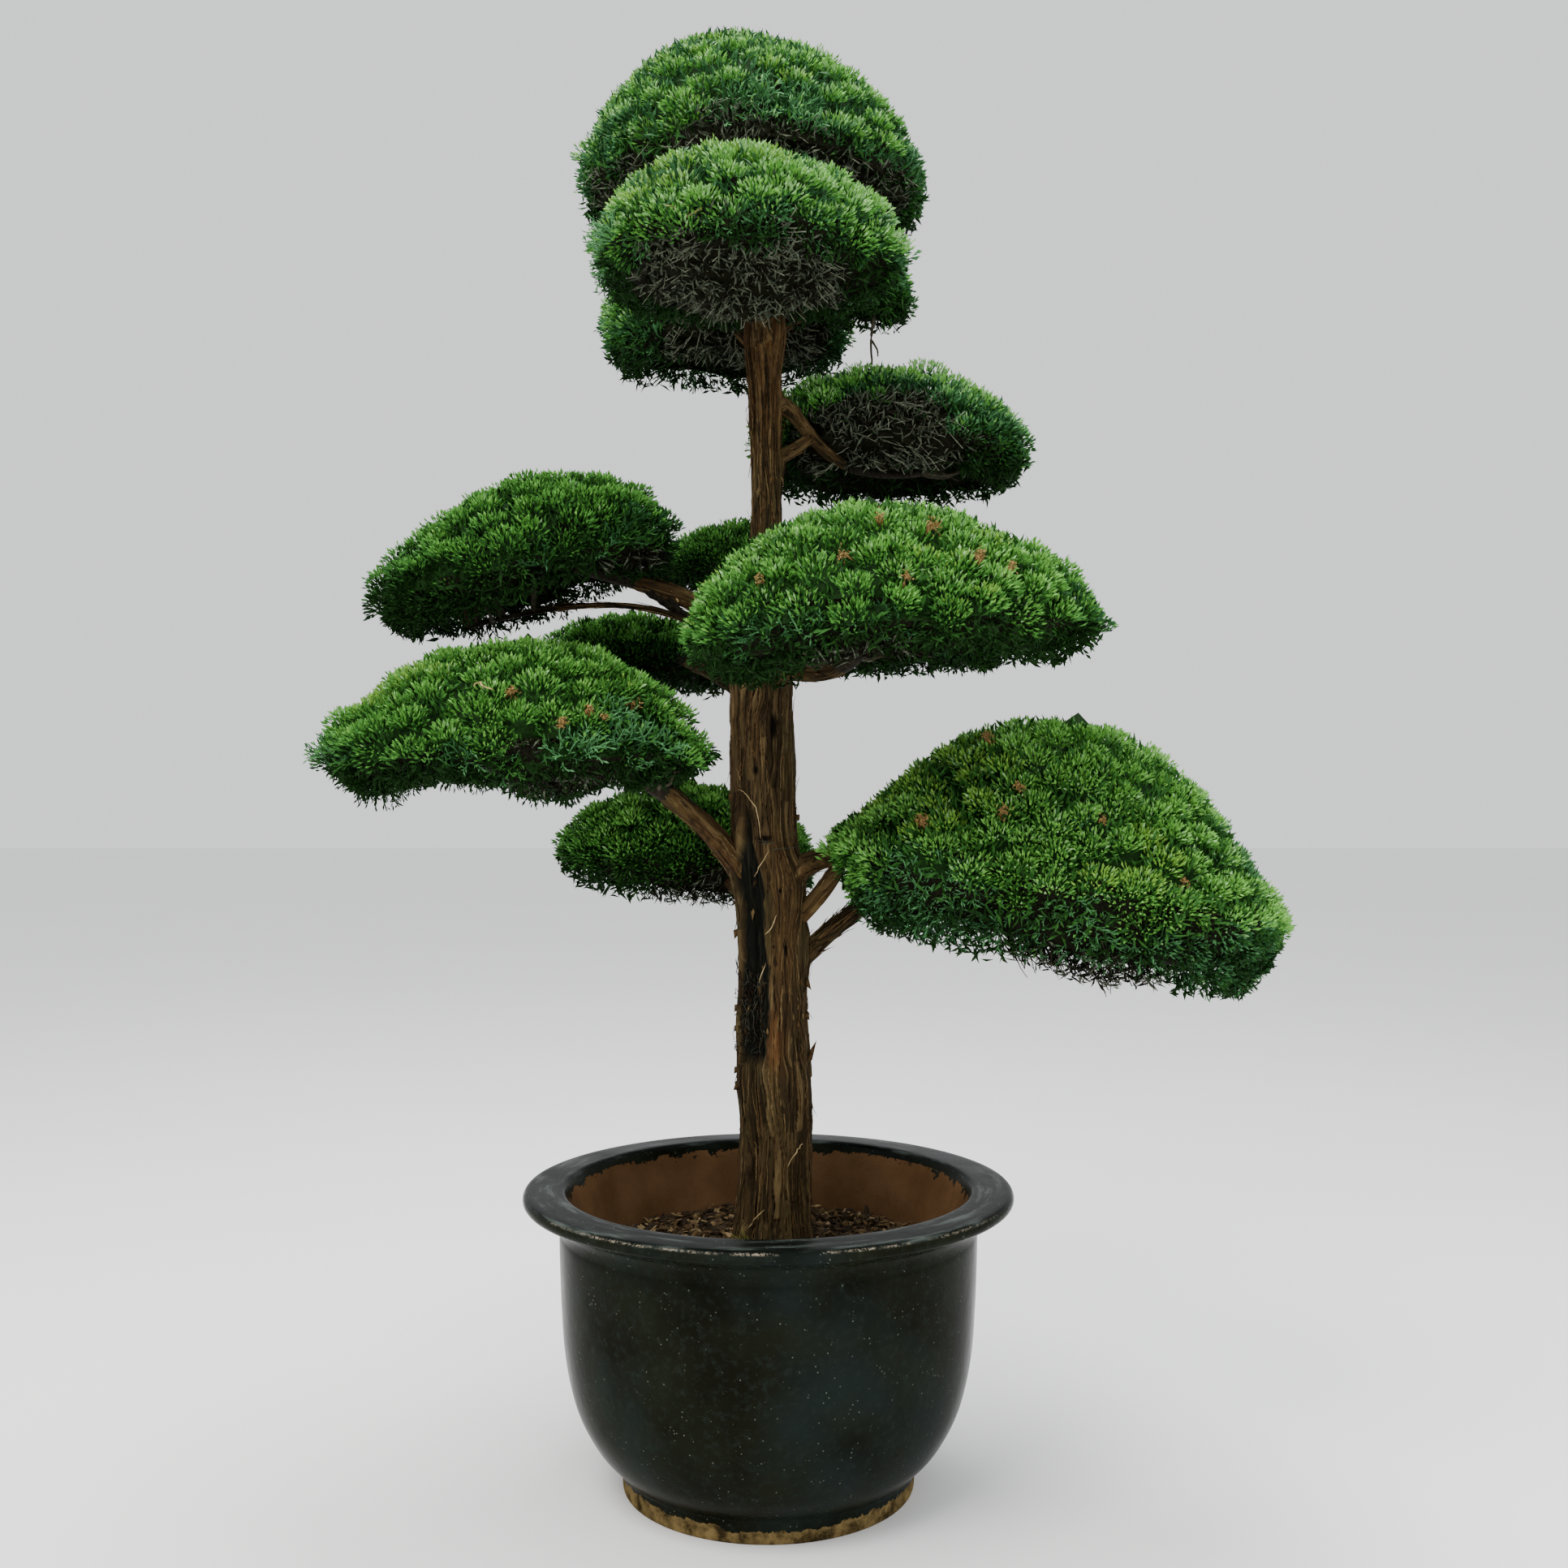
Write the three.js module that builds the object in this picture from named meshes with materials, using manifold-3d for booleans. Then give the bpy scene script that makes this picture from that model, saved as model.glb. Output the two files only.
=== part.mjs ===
// A potted Chinese juniper, clipped into cloud pads, in a wide-rimmed glazed pot.
// Millimetres, +Z up. The origin is the centre of the pot's flat underside, and -Y is the plant's front.
import * as THREE from "three";
import { mergeVertices } from "three/addons/utils/BufferGeometryUtils.js";
import Module from "manifold-3d";

const wasm = await Module();
wasm.setup();

// Driving dimensions
const GAP = 0.3; // clearance between pieces that touch on the real plant
const CUT_GAP = 0.6; // room left where one piece is cut to another's side
const POT_SIDES = 34;
const POT_HEIGHT = 548;
const RIM_RADIUS = 450;
const MOUTH_RADIUS = 371;
const FOOT_RADIUS = 268;
const SOIL_TOP = 430;
const TRUNK_SIDES = 16;
const FURROW_DEPTH = 0.13; // of the trunk's radius
const FURROW_WIDTH = 0.42; // radians
const FURROWS = [-2.15, 1.1]; // angles of the two long furrows that part the twin stems
const KEEP_OUT = 3; // how far sprays and twigs stay from the trunk and the boughs
const CORE_INSET = 17; // how far a mass's core lies inside its outline
const CORE_UNEVEN = 11;
const SPRAYS_PER_TWIG = 5;
const TWIG_RADII = [6, 3.5];
const SPRAY_LENGTH = 84;
const SPRAY_THICK = 7; // half the thickness in the middle
const SPRAY_LEAN = 0.98; // radians between a spray and the surface's outward direction
const TWIG_SIDES = 3;
const GOLDEN_ANGLE = 2.399963; // radians, spreads a run of places evenly round an axis

// Finishes
const finish = (color, roughness, metalness = 0) =>
  new THREE.MeshStandardMaterial({ color, roughness, metalness });
const glaze = finish(0x1d211e, 0.2);
const pottingMix = finish(0x3d3219, 0.95);
const bark = finish(0x5a432a, 0.9);
const foliage = finish(0x2f5f24, 0.85);

const plant = new THREE.Group();

function add(name, geometry, material) {
  const mesh = new THREE.Mesh(geometry, material);
  mesh.name = name;
  plant.add(mesh);
}

// A closed geometry as a solid that can be joined and cut
function solidOf(geometry) {
  const bare = geometry.clone();
  bare.deleteAttribute("normal");
  bare.deleteAttribute("uv");
  const merged = mergeVertices(bare, 1e-3);
  const solid = new wasm.Manifold(
    new wasm.Mesh({
      numProp: 3,
      vertProperties: new Float32Array(merged.attributes.position.array),
      triVerts: new Uint32Array(merged.index.array),
    }),
  );
  if (solid.volume() < 0) throw new Error("a solid is inside out");
  return solid;
}

function geometryOf(solid) {
  const mesh = solid.getMesh();
  const stride = mesh.numProp;
  const position = new Float32Array(mesh.numVert * 3);
  for (let i = 0; i < mesh.numVert; i++) {
    position.set(mesh.vertProperties.subarray(i * stride, i * stride + 3), i * 3);
  }
  return new THREE.BufferGeometry()
    .setAttribute("position", new THREE.BufferAttribute(position, 3))
    .setIndex(new THREE.BufferAttribute(new Uint32Array(mesh.triVerts), 1));
}

// Moves every vertex of a geometry to place(x, y, z)
function reshape(geometry, place) {
  const position = geometry.attributes.position;
  for (let i = 0; i < position.count; i++) {
    const p = place(position.getX(i), position.getY(i), position.getZ(i));
    position.setXYZ(i, p.x, p.y, p.z);
  }
  return geometry;
}

// The same seeded draw every time, from 0 to 1
function seeded(seed) {
  let state = seed >>> 0;
  return () => {
    state = (state * 1664525 + 1013904223) % 4294967296;
    return state / 4294967296;
  };
}

// Pot: one turned shell, from the middle of its underside round the wall to the middle of its floor
function turned(profile) {
  const points = profile.map(([r, z]) => new THREE.Vector2(r, z));
  return new THREE.LatheGeometry(points, POT_SIDES).rotateX(Math.PI / 2);
}

const innerWall = [
  [MOUTH_RADIUS - 2, POT_HEIGHT - 8],
  [356, 505],
  [333, SOIL_TOP - 8],
  [300, 200],
  [262, 105],
  [200, 62],
];

function potShell() {
  return turned([
    [0, 0],
    [FOOT_RADIUS, 0],
    [FOOT_RADIUS + 2, 38],
    [291, 60],
    [319, 92],
    [347, 143],
    [364, 198],
    [375, 265],
    [380, 340],
    [384, 480],
    [396, 502],
    [425, 516],
    [RIM_RADIUS - 5, 525],
    [RIM_RADIUS, 535],
    [RIM_RADIUS - 6, 545],
    [MOUTH_RADIUS + 6, POT_HEIGHT],
    ...innerWall,
    [0, 55],
  ]);
}

function soilFill() {
  const below = innerWall.slice(2).reverse();
  const wall = below.map(([r, z]) => [r - 2 * GAP, z]);
  wall[0][1] += GAP;
  return turned([
    [0, 55 + GAP],
    ...wall,
    [240, SOIL_TOP - 3],
    [150, SOIL_TOP],
    [0, SOIL_TOP],
  ]);
}

// Trunk: height, sideways lean and radius at each station, from the soil to the tip
const trunkStations = [
  { z: SOIL_TOP + GAP, x: 6, r: 82 },
  { z: 452, x: 8, r: 73 },
  { z: 500, x: 11, r: 68 },
  { z: 580, x: 15, r: 66.5 },
  { z: 650, x: 15, r: 67 },
  { z: 740, x: 8, r: 70 },
  { z: 815, x: 10, r: 67 },
  { z: 935, x: 9, r: 64.5 },
  { z: 1055, x: 3, r: 65 },
  { z: 1140, x: -3, r: 64 },
  { z: 1295, x: -11, r: 61 },
  { z: 1420, x: -13, r: 59 },
  { z: 1510, x: -11, r: 53 },
  { z: 1610, x: -7, r: 42 },
  { z: 1710, x: -5, r: 31 },
  { z: 1810, x: -5, r: 28 },
  { z: 1920, x: -7, r: 29.5 },
  { z: 2010, x: -9, r: 30 },
  { z: 2070, x: -8, r: 34 },
  { z: 2120, x: -7, r: 40 },
  { z: 2155, x: -8, r: 37 },
  { z: 2210, x: -12, r: 27 },
  { z: 2300, x: -22, r: 21 },
  { z: 2420, x: -35, r: 15 },
];

function furrowed(angle) {
  let share = 1;
  for (const furrow of FURROWS) {
    const away = Math.atan2(Math.sin(angle - furrow), Math.cos(angle - furrow));
    share -= FURROW_DEPTH * Math.exp(-((away / FURROW_WIDTH) ** 2));
  }
  return share;
}

function trunkSolid(grown = 0) {
  const steps = trunkStations.length - 1;
  const tube = new THREE.CylinderGeometry(1, 1, 1, TRUNK_SIDES, steps).rotateX(Math.PI / 2);
  return solidOf(
    reshape(tube, (x, y, z) => {
      const station = trunkStations[Math.round((z + 0.5) * steps)];
      const around = Math.atan2(y, x);
      const reach = Math.hypot(x, y) * (station.r * furrowed(around) + grown);
      const up = station.z + (z > 0.499 ? grown : 0);
      return new THREE.Vector3(
        station.x + reach * Math.cos(around), reach * Math.sin(around), up);
    }),
  );
}

// Limbs: each is one cubic curve from the trunk's axis to the middle of its mass, with the radius
// at both ends. A bough is the curve up to the share "enters", and the mass's stem is the rest. The
// leader goes on from the trunk's tip and is all stem, and a limb that joins another has no mass.
const limbs = [
  { name: "leader", mass: "foliage_crown", enters: 0, r: [11, 8],
    curve: [[-35, 0, 2420], [-38, 0, 2470], [-40, 60, 2560], [-40, 150, 2640]] },
  { name: "bough_lower_left", mass: "foliage_lower_left", enters: 0.5, r: [22, 12],
    curve: [[-4, 0, 1100], [-80, -25, 1165], [-185, -90, 1335], [-400, -120, 1350]] },
  { name: "bough_lower_right_upper", mass: "foliage_lower_right", enters: 0.5, r: [24, 12],
    curve: [[3, 0, 1054], [60, -40, 1196], [170, -45, 1154], [480, -80, 1170]] },
  { name: "bough_lower_right_middle", joins: "bough_lower_right_upper", enters: 1, r: [20, 16],
    curve: [[6, 0, 980], [60, -20, 1016], [104, -35, 1085], [122, -38, 1152]] },
  { name: "bough_lower_right_lower", mass: "foliage_lower_right", enters: 0.5, r: [21, 11],
    curve: [[8, 0, 915], [90, 10, 985], [192, 20, 1122], [430, 40, 1150]] },
  { name: "bough_middle_left", mass: "foliage_middle_left", enters: 0.58, r: [25, 12],
    curve: [[-10, 0, 1480], [-70, 0, 1640], [-220, -5, 1655], [-450, -20, 1710]] },
  { name: "bough_middle_left_under", mass: "foliage_middle_left", enters: 0.82, r: [9, 4.5],
    curve: [[-12, 0, 1440], [-120, -20, 1610], [-300, -50, 1645], [-540, -60, 1590]] },
  { name: "bough_middle_front", mass: "foliage_middle_front", enters: 0.6, r: [25, 13],
    curve: [[-8, 0, 1510], [40, -110, 1490], [140, -190, 1425], [185, -300, 1560]] },
  { name: "bough_upper_right", mass: "foliage_upper_right", enters: 0.65, r: [15, 7],
    curve: [[-8, 0, 1992], [85, -12, 2000], [55, -10, 1830], [290, 130, 1885]] },
  { name: "bough_upper_right_stub", joins: "bough_upper_right", enters: 1, r: [15, 10],
    curve: [[-7, 0, 1882], [20, 0, 1890], [50, -4, 1900], [80, 2, 1929]] },
  { name: "bough_upper_front", mass: "foliage_upper_front", enters: 0.5, r: [20, 10],
    curve: [[-7, 0, 2095], [-12, -50, 2125], [-20, -100, 2190], [-30, -160, 2260]] },
  { name: "bough_upper_rear", mass: "foliage_upper_rear", enters: 0.62, r: [16, 8],
    curve: [[-8, 0, 2040], [-12, 70, 2105], [-50, 140, 2165], [-100, 280, 2210]] },
  { name: "bough_upper_side", mass: "foliage_upper_side", enters: 0.66, r: [13, 7],
    curve: [[-7, 0, 2100], [25, 60, 2155], [90, 110, 2200], [185, 130, 2250]] },
  { name: "bough_middle_rear", mass: "foliage_middle_rear", enters: 0.62, r: [17, 8],
    curve: [[-7, 0, 1590], [-20, 90, 1660], [-30, 200, 1730], [-50, 370, 1755]] },
  { name: "bough_middle_rear_right", mass: "foliage_middle_rear_right", enters: 0.6, r: [18, 9],
    curve: [[-9, 0, 1470], [70, 70, 1540], [150, 200, 1590], [290, 350, 1620]] },
  { name: "bough_rear_left", mass: "foliage_rear_left", enters: 0.6, r: [17, 8],
    curve: [[-12, 0, 1420], [-60, 80, 1480], [-150, 190, 1530], [-270, 340, 1565]] },
  { name: "bough_low_rear", mass: "foliage_low_rear", enters: 0.55, r: [18, 9],
    curve: [[2, 0, 985], [-20, 90, 1050], [-70, 180, 1110], [-180, 300, 1150]] },
];

function limbCurve(limb) {
  return new THREE.CubicBezierCurve3(...limb.curve.map((p) => new THREE.Vector3(...p)));
}

// A tapering tube along a curve, between two shares of it
function taper(curve, from, to, radiusAt, sides, steps) {
  const tube = new THREE.CylinderGeometry(1, 1, 1, sides, steps).rotateX(Math.PI / 2);
  const side = new THREE.Vector3();
  return reshape(tube, (x, y, z) => {
    const share = from + (to - from) * (z + 0.5);
    const along = curve.getTangent(share);
    side.set(0, 0, 1).cross(along);
    if (side.lengthSq() < 0.01) side.set(1, 0, 0);
    side.normalize();
    const up = along.clone().cross(side);
    return curve
      .getPoint(share)
      .addScaledVector(side, x * radiusAt(share))
      .addScaledVector(up, y * radiusAt(share));
  });
}

function limbSolid(limb, from, to, grown = 0, sides = 7) {
  const curve = limbCurve(limb);
  const radiusAt = (share) => {
    const collar = 0.35 * Math.max(0, 1 - share / 0.22); // the swelling where a bough leaves the trunk
    return limb.r[0] * (1 + collar) + (limb.r[1] - limb.r[0]) * share + grown;
  };
  const steps = Math.max(3, Math.round((curve.getLength() * (to - from)) / 45));
  return solidOf(taper(curve, from, to, radiusAt, sides, steps));
}

// Masses: the middle of the widest plane, the half widths, the height above that plane and the depth
// of the lip below it, how far the plane rises for each millimetre to the right and to the rear, how
// far the apex stands off the middle, the height of the bare hollow under it, and how peaked it is
const masses = [
  { name: "foliage_crown", at: [-32, 180, 2464], wide: [356, 305], up: 288, down: 124,
    slope: [0, -0.12], apex: [-8, 0], hollow: 60, peak: 1.4, around: 16, rings: 10, sprays: 32 },
  { name: "foliage_upper_front", at: [-36, -150, 2222], wide: [282, 246], up: 182, down: 84,
    slope: [0, -0.04], apex: [-8, 0], hollow: -50, peak: 1.2, around: 16, rings: 8, sprays: 24 },
  { name: "foliage_upper_rear", at: [-100, 297, 2236], wide: [272, 170], up: 132, down: 150,
    slope: [0, 0], apex: [0, 0], hollow: -12, peak: 1, around: 14, rings: 6, sprays: 13 },
  { name: "foliage_upper_side", at: [192, 133, 2244], wide: [97, 90], up: 84, down: 82,
    slope: [0, 0], apex: [0, 0], hollow: 0, peak: 1.1, around: 9, rings: 6, sprays: 8 },
  { name: "foliage_upper_right", at: [244, 150, 1932], wide: [281, 196], up: 166, down: 90,
    slope: [-0.04, -0.08], apex: [4, 0], hollow: 30, peak: 0.95, around: 14, rings: 8, sprays: 20 },
  { name: "foliage_middle_left", at: [-457, -20, 1686], wide: [292, 212], up: 176, down: 104,
    slope: [0.21, 0], apex: [48, 0], hollow: 40, peak: 1.4, around: 16, rings: 8, sprays: 24 },
  { name: "foliage_middle_rear", at: [-62, 380, 1744], wide: [200, 150], up: 98, down: 62,
    slope: [0, 0], apex: [10, 0], hollow: 0, peak: 1.3, around: 12, rings: 6, sprays: 11 },
  { name: "foliage_middle_rear_right", at: [300, 360, 1585], wide: [210, 165], up: 112, down: 68,
    slope: [0, 0], apex: [0, 0], hollow: 0, peak: 1.3, around: 12, rings: 6, sprays: 13 },
  { name: "foliage_middle_front", at: [197, -330, 1558], wide: [372, 265], up: 204, down: 100,
    slope: [0.03, 0], apex: [-16, 0], hollow: 20, peak: 1.5, around: 18, rings: 8, sprays: 31 },
  { name: "foliage_rear_left", at: [-275, 350, 1550], wide: [224, 160], up: 102, down: 84,
    slope: [0, 0], apex: [-10, 0], hollow: 0, peak: 1.3, around: 12, rings: 6, sprays: 11 },
  { name: "foliage_lower_left", at: [-455, -120, 1350], wide: [366, 240], up: 206, down: 92,
    slope: [0, 0], apex: [44, 0], hollow: -14, peak: 1.5, around: 18, rings: 8, sprays: 29 },
  { name: "foliage_low_rear", at: [-180, 305, 1140], wide: [272, 198], up: 156, down: 112,
    slope: [-0.04, 0], apex: [10, 0], hollow: 0, peak: 1.3, around: 14, rings: 6, sprays: 17 },
  { name: "foliage_lower_right", at: [525, -80, 1134], wide: [426, 316], up: 278, down: 184,
    slope: [-0.165, 0], apex: [18, 0], hollow: 20, peak: 2.05, around: 18, rings: 8, sprays: 37 },
];

// The surface of a mass, from a direction on the unit sphere: a dome above its widest plane, a lip
// that turns under below it, and a hollow in the middle of the underside
function cloud(mass, x, y, z, inset = 0) {
  const flat = Math.hypot(x, y);
  const around = Math.atan2(y, x);
  const seed = mass.at[0] * 0.01 + mass.at[2] * 0.003;
  const lobes = 0.985 + 0.03 * Math.cos(3 * around + seed) + 0.02 * Math.cos(5 * around + 2 * seed);
  const out = Math.pow(flat, 0.94) * (1 + (lobes - 1) * flat);
  const px = (mass.wide[0] - inset) * out * Math.cos(around);
  const py = (mass.wide[1] - inset) * out * Math.sin(around);
  const lift = Math.pow(Math.max(z, 0), mass.peak);
  const inward = z < 0 ? 1 - Math.pow(flat, 0.94) : 0; // how far in from the rim the underside has come
  const lip = Math.pow(Math.min(inward / 0.22, 1), 0.35);
  const rise = Math.max(0, (inward - 0.22) / 0.78);
  const lumps = 1 + 0.04 * Math.sin(px * 0.021 + seed) * Math.cos(py * 0.023 + seed) * flat;
  const dome = (mass.up - inset) * lift * lumps;
  const under = (mass.down - inset) * lip - (mass.down + mass.hollow) * rise * rise * (3 - 2 * rise);
  return new THREE.Vector3(
    mass.at[0] + px + mass.apex[0] * lift,
    mass.at[1] + py + mass.apex[1] * lift,
    mass.at[2] + mass.slope[0] * px + mass.slope[1] * py + dome - under,
  );
}

// The outward direction of the mass's surface there, by small steps along it
function outwards(mass, x, y, z) {
  const step = 0.03;
  const here = new THREE.Vector3(x, y, z).normalize();
  const across = new THREE.Vector3(-here.y, here.x, 0.001).normalize();
  const down = across.clone().cross(here);
  const at = (direction, length) => {
    const q = here.clone().addScaledVector(direction, length).normalize();
    return cloud(mass, q.x, q.y, q.z);
  };
  const a = at(across, step).sub(at(across, -step));
  const b = at(down, step).sub(at(down, -step));
  const normal = a.cross(b).normalize();
  const outward = cloud(mass, here.x, here.y, here.z).sub(new THREE.Vector3(...mass.at));
  return normal.dot(outward) < 0 ? normal.negate() : normal;
}

// The dense inside of a mass, a little uneven like the clipped foliage it stands for
function coreSolid(mass) {
  const ball = new THREE.SphereGeometry(1, mass.around, mass.rings).rotateX(Math.PI / 2);
  return solidOf(
    reshape(ball, (x, y, z) => {
      const wave = Math.sin(37 * x + 11 * z) + Math.sin(41 * y - 17 * z) + Math.sin(29 * z + 23 * x);
      return cloud(mass, x, y, z, CORE_INSET - CORE_UNEVEN * (wave / 3));
    }),
  );
}

// A spray of needles: a blade with three teeth, thick in the middle, its root at the origin and its
// middle tooth along +Z
function spraySolid() {
  const cone = new THREE.ConeGeometry(1, 1, 6).rotateX(Math.PI / 2);
  const hub = 0.3 * SPRAY_LENGTH;
  const teeth = [
    [0, -hub / SPRAY_LENGTH, 0],
    [1, 0.66, -0.52],
    [2, 0.46, -0.26],
    [3, 0.7, 0],
    [4, 0.46, 0.26],
    [5, 0.66, 0.52],
  ];
  return solidOf(
    reshape(cone, (x, y, z) => {
      if (Math.hypot(x, y) < 0.5) return new THREE.Vector3(0, SPRAY_THICK * Math.sign(z), hub);
      const step = (Math.round((Math.atan2(x, -y) / (2 * Math.PI)) * 6) + 6) % 6;
      const [, reach, turn] = teeth[step];
      const length = reach * SPRAY_LENGTH;
      return new THREE.Vector3(length * Math.sin(turn), 0, hub + length * Math.cos(turn));
    }),
  );
}

// Turns a solid so that its +Z lies along a direction and its flat side faces out, and moves it
function placed(solid, direction, facing, point) {
  const flat = facing.clone().addScaledVector(direction, -facing.dot(direction)).normalize();
  const side = flat.clone().cross(direction);
  const matrix = new THREE.Matrix4().makeBasis(side, flat, direction).setPosition(point);
  return solid.transform(matrix.elements);
}

const spray = spraySolid();

function boxesMeet(a, b) {
  return [0, 1, 2].every((i) => a.min[i] < b.max[i] && b.min[i] < a.max[i]);
}

function touches(solid, others) {
  const box = solid.boundingBox();
  return others.some(
    (other) => boxesMeet(box, other.boundingBox()) && solid.intersect(other).volume() > 0,
  );
}

function cutClear(solid, others) {
  const box = solid.boundingBox();
  return others
    .filter((other) => boxesMeet(box, other.boundingBox()))
    .reduce((left, other) => left.subtract(other), solid);
}

function largestPiece(solid) {
  return solid.decompose().reduce((a, b) => (a.volume() > b.volume() ? a : b));
}

// Trunk and boughs. Each bough is cut to the trunk's side, and one that joins another to its side.
const boughLimbs = limbs.filter((limb) => limb.enters > 0);
const grownBough = (limb, grown) => limbSolid(limb, 0, limb.enters, grown);
const cutters = new Map(boughLimbs.map((limb) => [limb.name, grownBough(limb, CUT_GAP)]));
cutters.set("trunk", trunkSolid(CUT_GAP));
const keepClear = [trunkSolid(KEEP_OUT), ...boughLimbs.map((limb) => grownBough(limb, KEEP_OUT))];

function boughSolid(limb) {
  const bough = limbSolid(limb, 0, limb.enters).subtract(cutters.get("trunk"));
  return largestPiece(limb.joins ? bough.subtract(cutters.get(limb.joins)) : bough);
}

// The stem of a mass goes on from its bough's tip, one gap clear of it
function stemSolid(limb) {
  const clear = (1.5 * GAP) / limbCurve(limb).getLength();
  return limbSolid(limb, limb.enters + clear, 1, 0, 6);
}

// Twigs that fan out from a stem to the dome of its mass
function twigsOf(mass, limb, count, draw) {
  const curve = limbCurve(limb);
  const twigs = [];
  for (let i = 0; i < count; i++) {
    const from = curve.getPoint(limb.enters + (1 - limb.enters) * (0.25 + 0.7 * draw()));
    const around = i * GOLDEN_ANGLE + draw();
    const reach = 0.55 + 0.25 * draw();
    const lift = Math.sqrt(1 - reach * reach);
    const to = cloud(mass, reach * Math.cos(around), reach * Math.sin(around), lift, 3 * CORE_INSET);
    const path = new THREE.LineCurve3(from, to);
    const radiusAt = (share) => THREE.MathUtils.lerp(...TWIG_RADII, share);
    twigs.push(solidOf(taper(path, 0, 1, radiusAt, TWIG_SIDES, 1)));
  }
  return twigs;
}

// Sprays spread evenly over the dome and round its lip. Each leans over from the surface, mostly
// upwards, and is turned a little by the seeded draw.
function spraysOf(mass, draw) {
  const sprays = [];
  const anywhere = () => new THREE.Vector3(draw() - 0.5, draw() - 0.5, draw() - 0.5);
  for (let i = 0; i < mass.sprays; i++) {
    const z = 0.97 - (1.2 * (i + 0.5)) / mass.sprays;
    const around = i * GOLDEN_ANGLE + 0.3 * draw();
    const flat = Math.sqrt(1 - z * z);
    const [x, y] = [flat * Math.cos(around), flat * Math.sin(around)];
    const normal = outwards(mass, x, y, z);
    const along = new THREE.Vector3(0, 0, 0.6).addScaledVector(anywhere(), 2);
    along.addScaledVector(normal, -along.dot(normal)).normalize();
    const lean = SPRAY_LEAN * (0.8 + 0.4 * draw());
    const direction = normal.clone().multiplyScalar(Math.cos(lean));
    direction.addScaledVector(along, Math.sin(lean));
    const tip = cloud(mass, x, y, z).addScaledVector(normal, 2 + 6 * draw());
    const root = tip.clone().addScaledVector(direction, -SPRAY_LENGTH);
    const facing = normal.clone().addScaledVector(anywhere(), 0.8);
    sprays.push(placed(spray, direction, facing, root));
  }
  return sprays;
}

// A whole mass: its core cut clear of the limbs and of the masses before it, with its stems, and
// with each twig and spray that keeps clear of them
function massSolid(mass, index, before) {
  const draw = seeded(7919 * (index + 1));
  const stems = limbs.filter((limb) => limb.mass === mass.name);
  const core = largestPiece(cutClear(coreSolid(mass), [...cutters.values(), ...before]));
  const body = stems.reduce((joined, limb) => joined.add(stemSolid(limb)), core);
  const count = Math.round(mass.sprays / SPRAYS_PER_TWIG / stems.length);
  const twigs = stems.flatMap((limb) => twigsOf(mass, limb, count, draw));
  const others = [...keepClear, ...before];
  const clear = [...twigs, ...spraysOf(mass, draw)].filter((piece) => !touches(piece, others));
  return largestPiece(clear.reduce((joined, piece) => joined.add(piece), body));
}

add("pot", potShell(), glaze);
add("soil", soilFill(), pottingMix);
add("trunk", geometryOf(trunkSolid()), bark);
for (const limb of boughLimbs) add(limb.name, geometryOf(boughSolid(limb)), bark);
const placedMasses = [];
for (const [index, mass] of masses.entries()) {
  const solid = massSolid(mass, index, placedMasses);
  placedMasses.push(solid);
  add(mass.name, geometryOf(solid), foliage);
}

export default plant;
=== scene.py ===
import math

import bmesh
import bpy
import numpy as np
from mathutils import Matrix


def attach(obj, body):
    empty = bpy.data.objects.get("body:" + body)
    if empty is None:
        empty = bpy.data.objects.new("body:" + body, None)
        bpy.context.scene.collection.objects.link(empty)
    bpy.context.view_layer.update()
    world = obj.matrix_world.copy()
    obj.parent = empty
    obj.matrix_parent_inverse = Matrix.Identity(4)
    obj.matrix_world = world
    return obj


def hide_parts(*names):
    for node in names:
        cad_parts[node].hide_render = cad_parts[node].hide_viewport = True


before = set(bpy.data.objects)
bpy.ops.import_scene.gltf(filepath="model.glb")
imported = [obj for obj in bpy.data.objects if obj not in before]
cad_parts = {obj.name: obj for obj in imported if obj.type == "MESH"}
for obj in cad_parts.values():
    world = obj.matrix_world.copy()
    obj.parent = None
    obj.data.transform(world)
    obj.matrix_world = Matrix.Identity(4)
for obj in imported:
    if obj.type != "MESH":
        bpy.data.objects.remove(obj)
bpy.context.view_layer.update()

GOLDEN_ANGLE = 2.399963  # radians, spreads a run of places evenly round an axis
UP = np.array([0.0, 0.0, 1.0])

# Pot and soil
POT_HEIGHT = 0.548
FOOT_RADIUS = 0.268
RIM_RADIUS = 0.450
MOUTH_RADIUS = 0.371
SOIL_TOP = 0.430
SOIL_RADIUS = 0.3324
POT_TURNS = 160
POT_OUTSIDE = [
    (FOOT_RADIUS - 0.004, 0.0), (FOOT_RADIUS, 0.004), (FOOT_RADIUS + 0.002, 0.036),
    (0.276, 0.046), (0.291, 0.060), (0.319, 0.092), (0.347, 0.143), (0.364, 0.198),
    (0.375, 0.265), (0.380, 0.340), (0.383, 0.420), (0.3838, 0.460), (0.3828, 0.473),
    (0.3848, 0.484), (0.389, 0.493), (0.398, 0.504), (0.412, 0.511), (0.428, 0.517),
    (0.443, 0.523), (0.449, 0.529), (RIM_RADIUS, 0.536), (0.447, 0.543), (0.440, 0.5465),
    (0.415, 0.5475), (0.385, POT_HEIGHT), (0.376, 0.5465), (MOUTH_RADIUS, 0.541),
]
POT_INSIDE = [
    (0.3665, 0.532), (0.356, 0.505), (0.333, 0.422), (0.300, 0.200), (0.262, 0.105),
    (0.200, 0.062), (0.0, 0.055),
]
CHIPS = 1500

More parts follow.
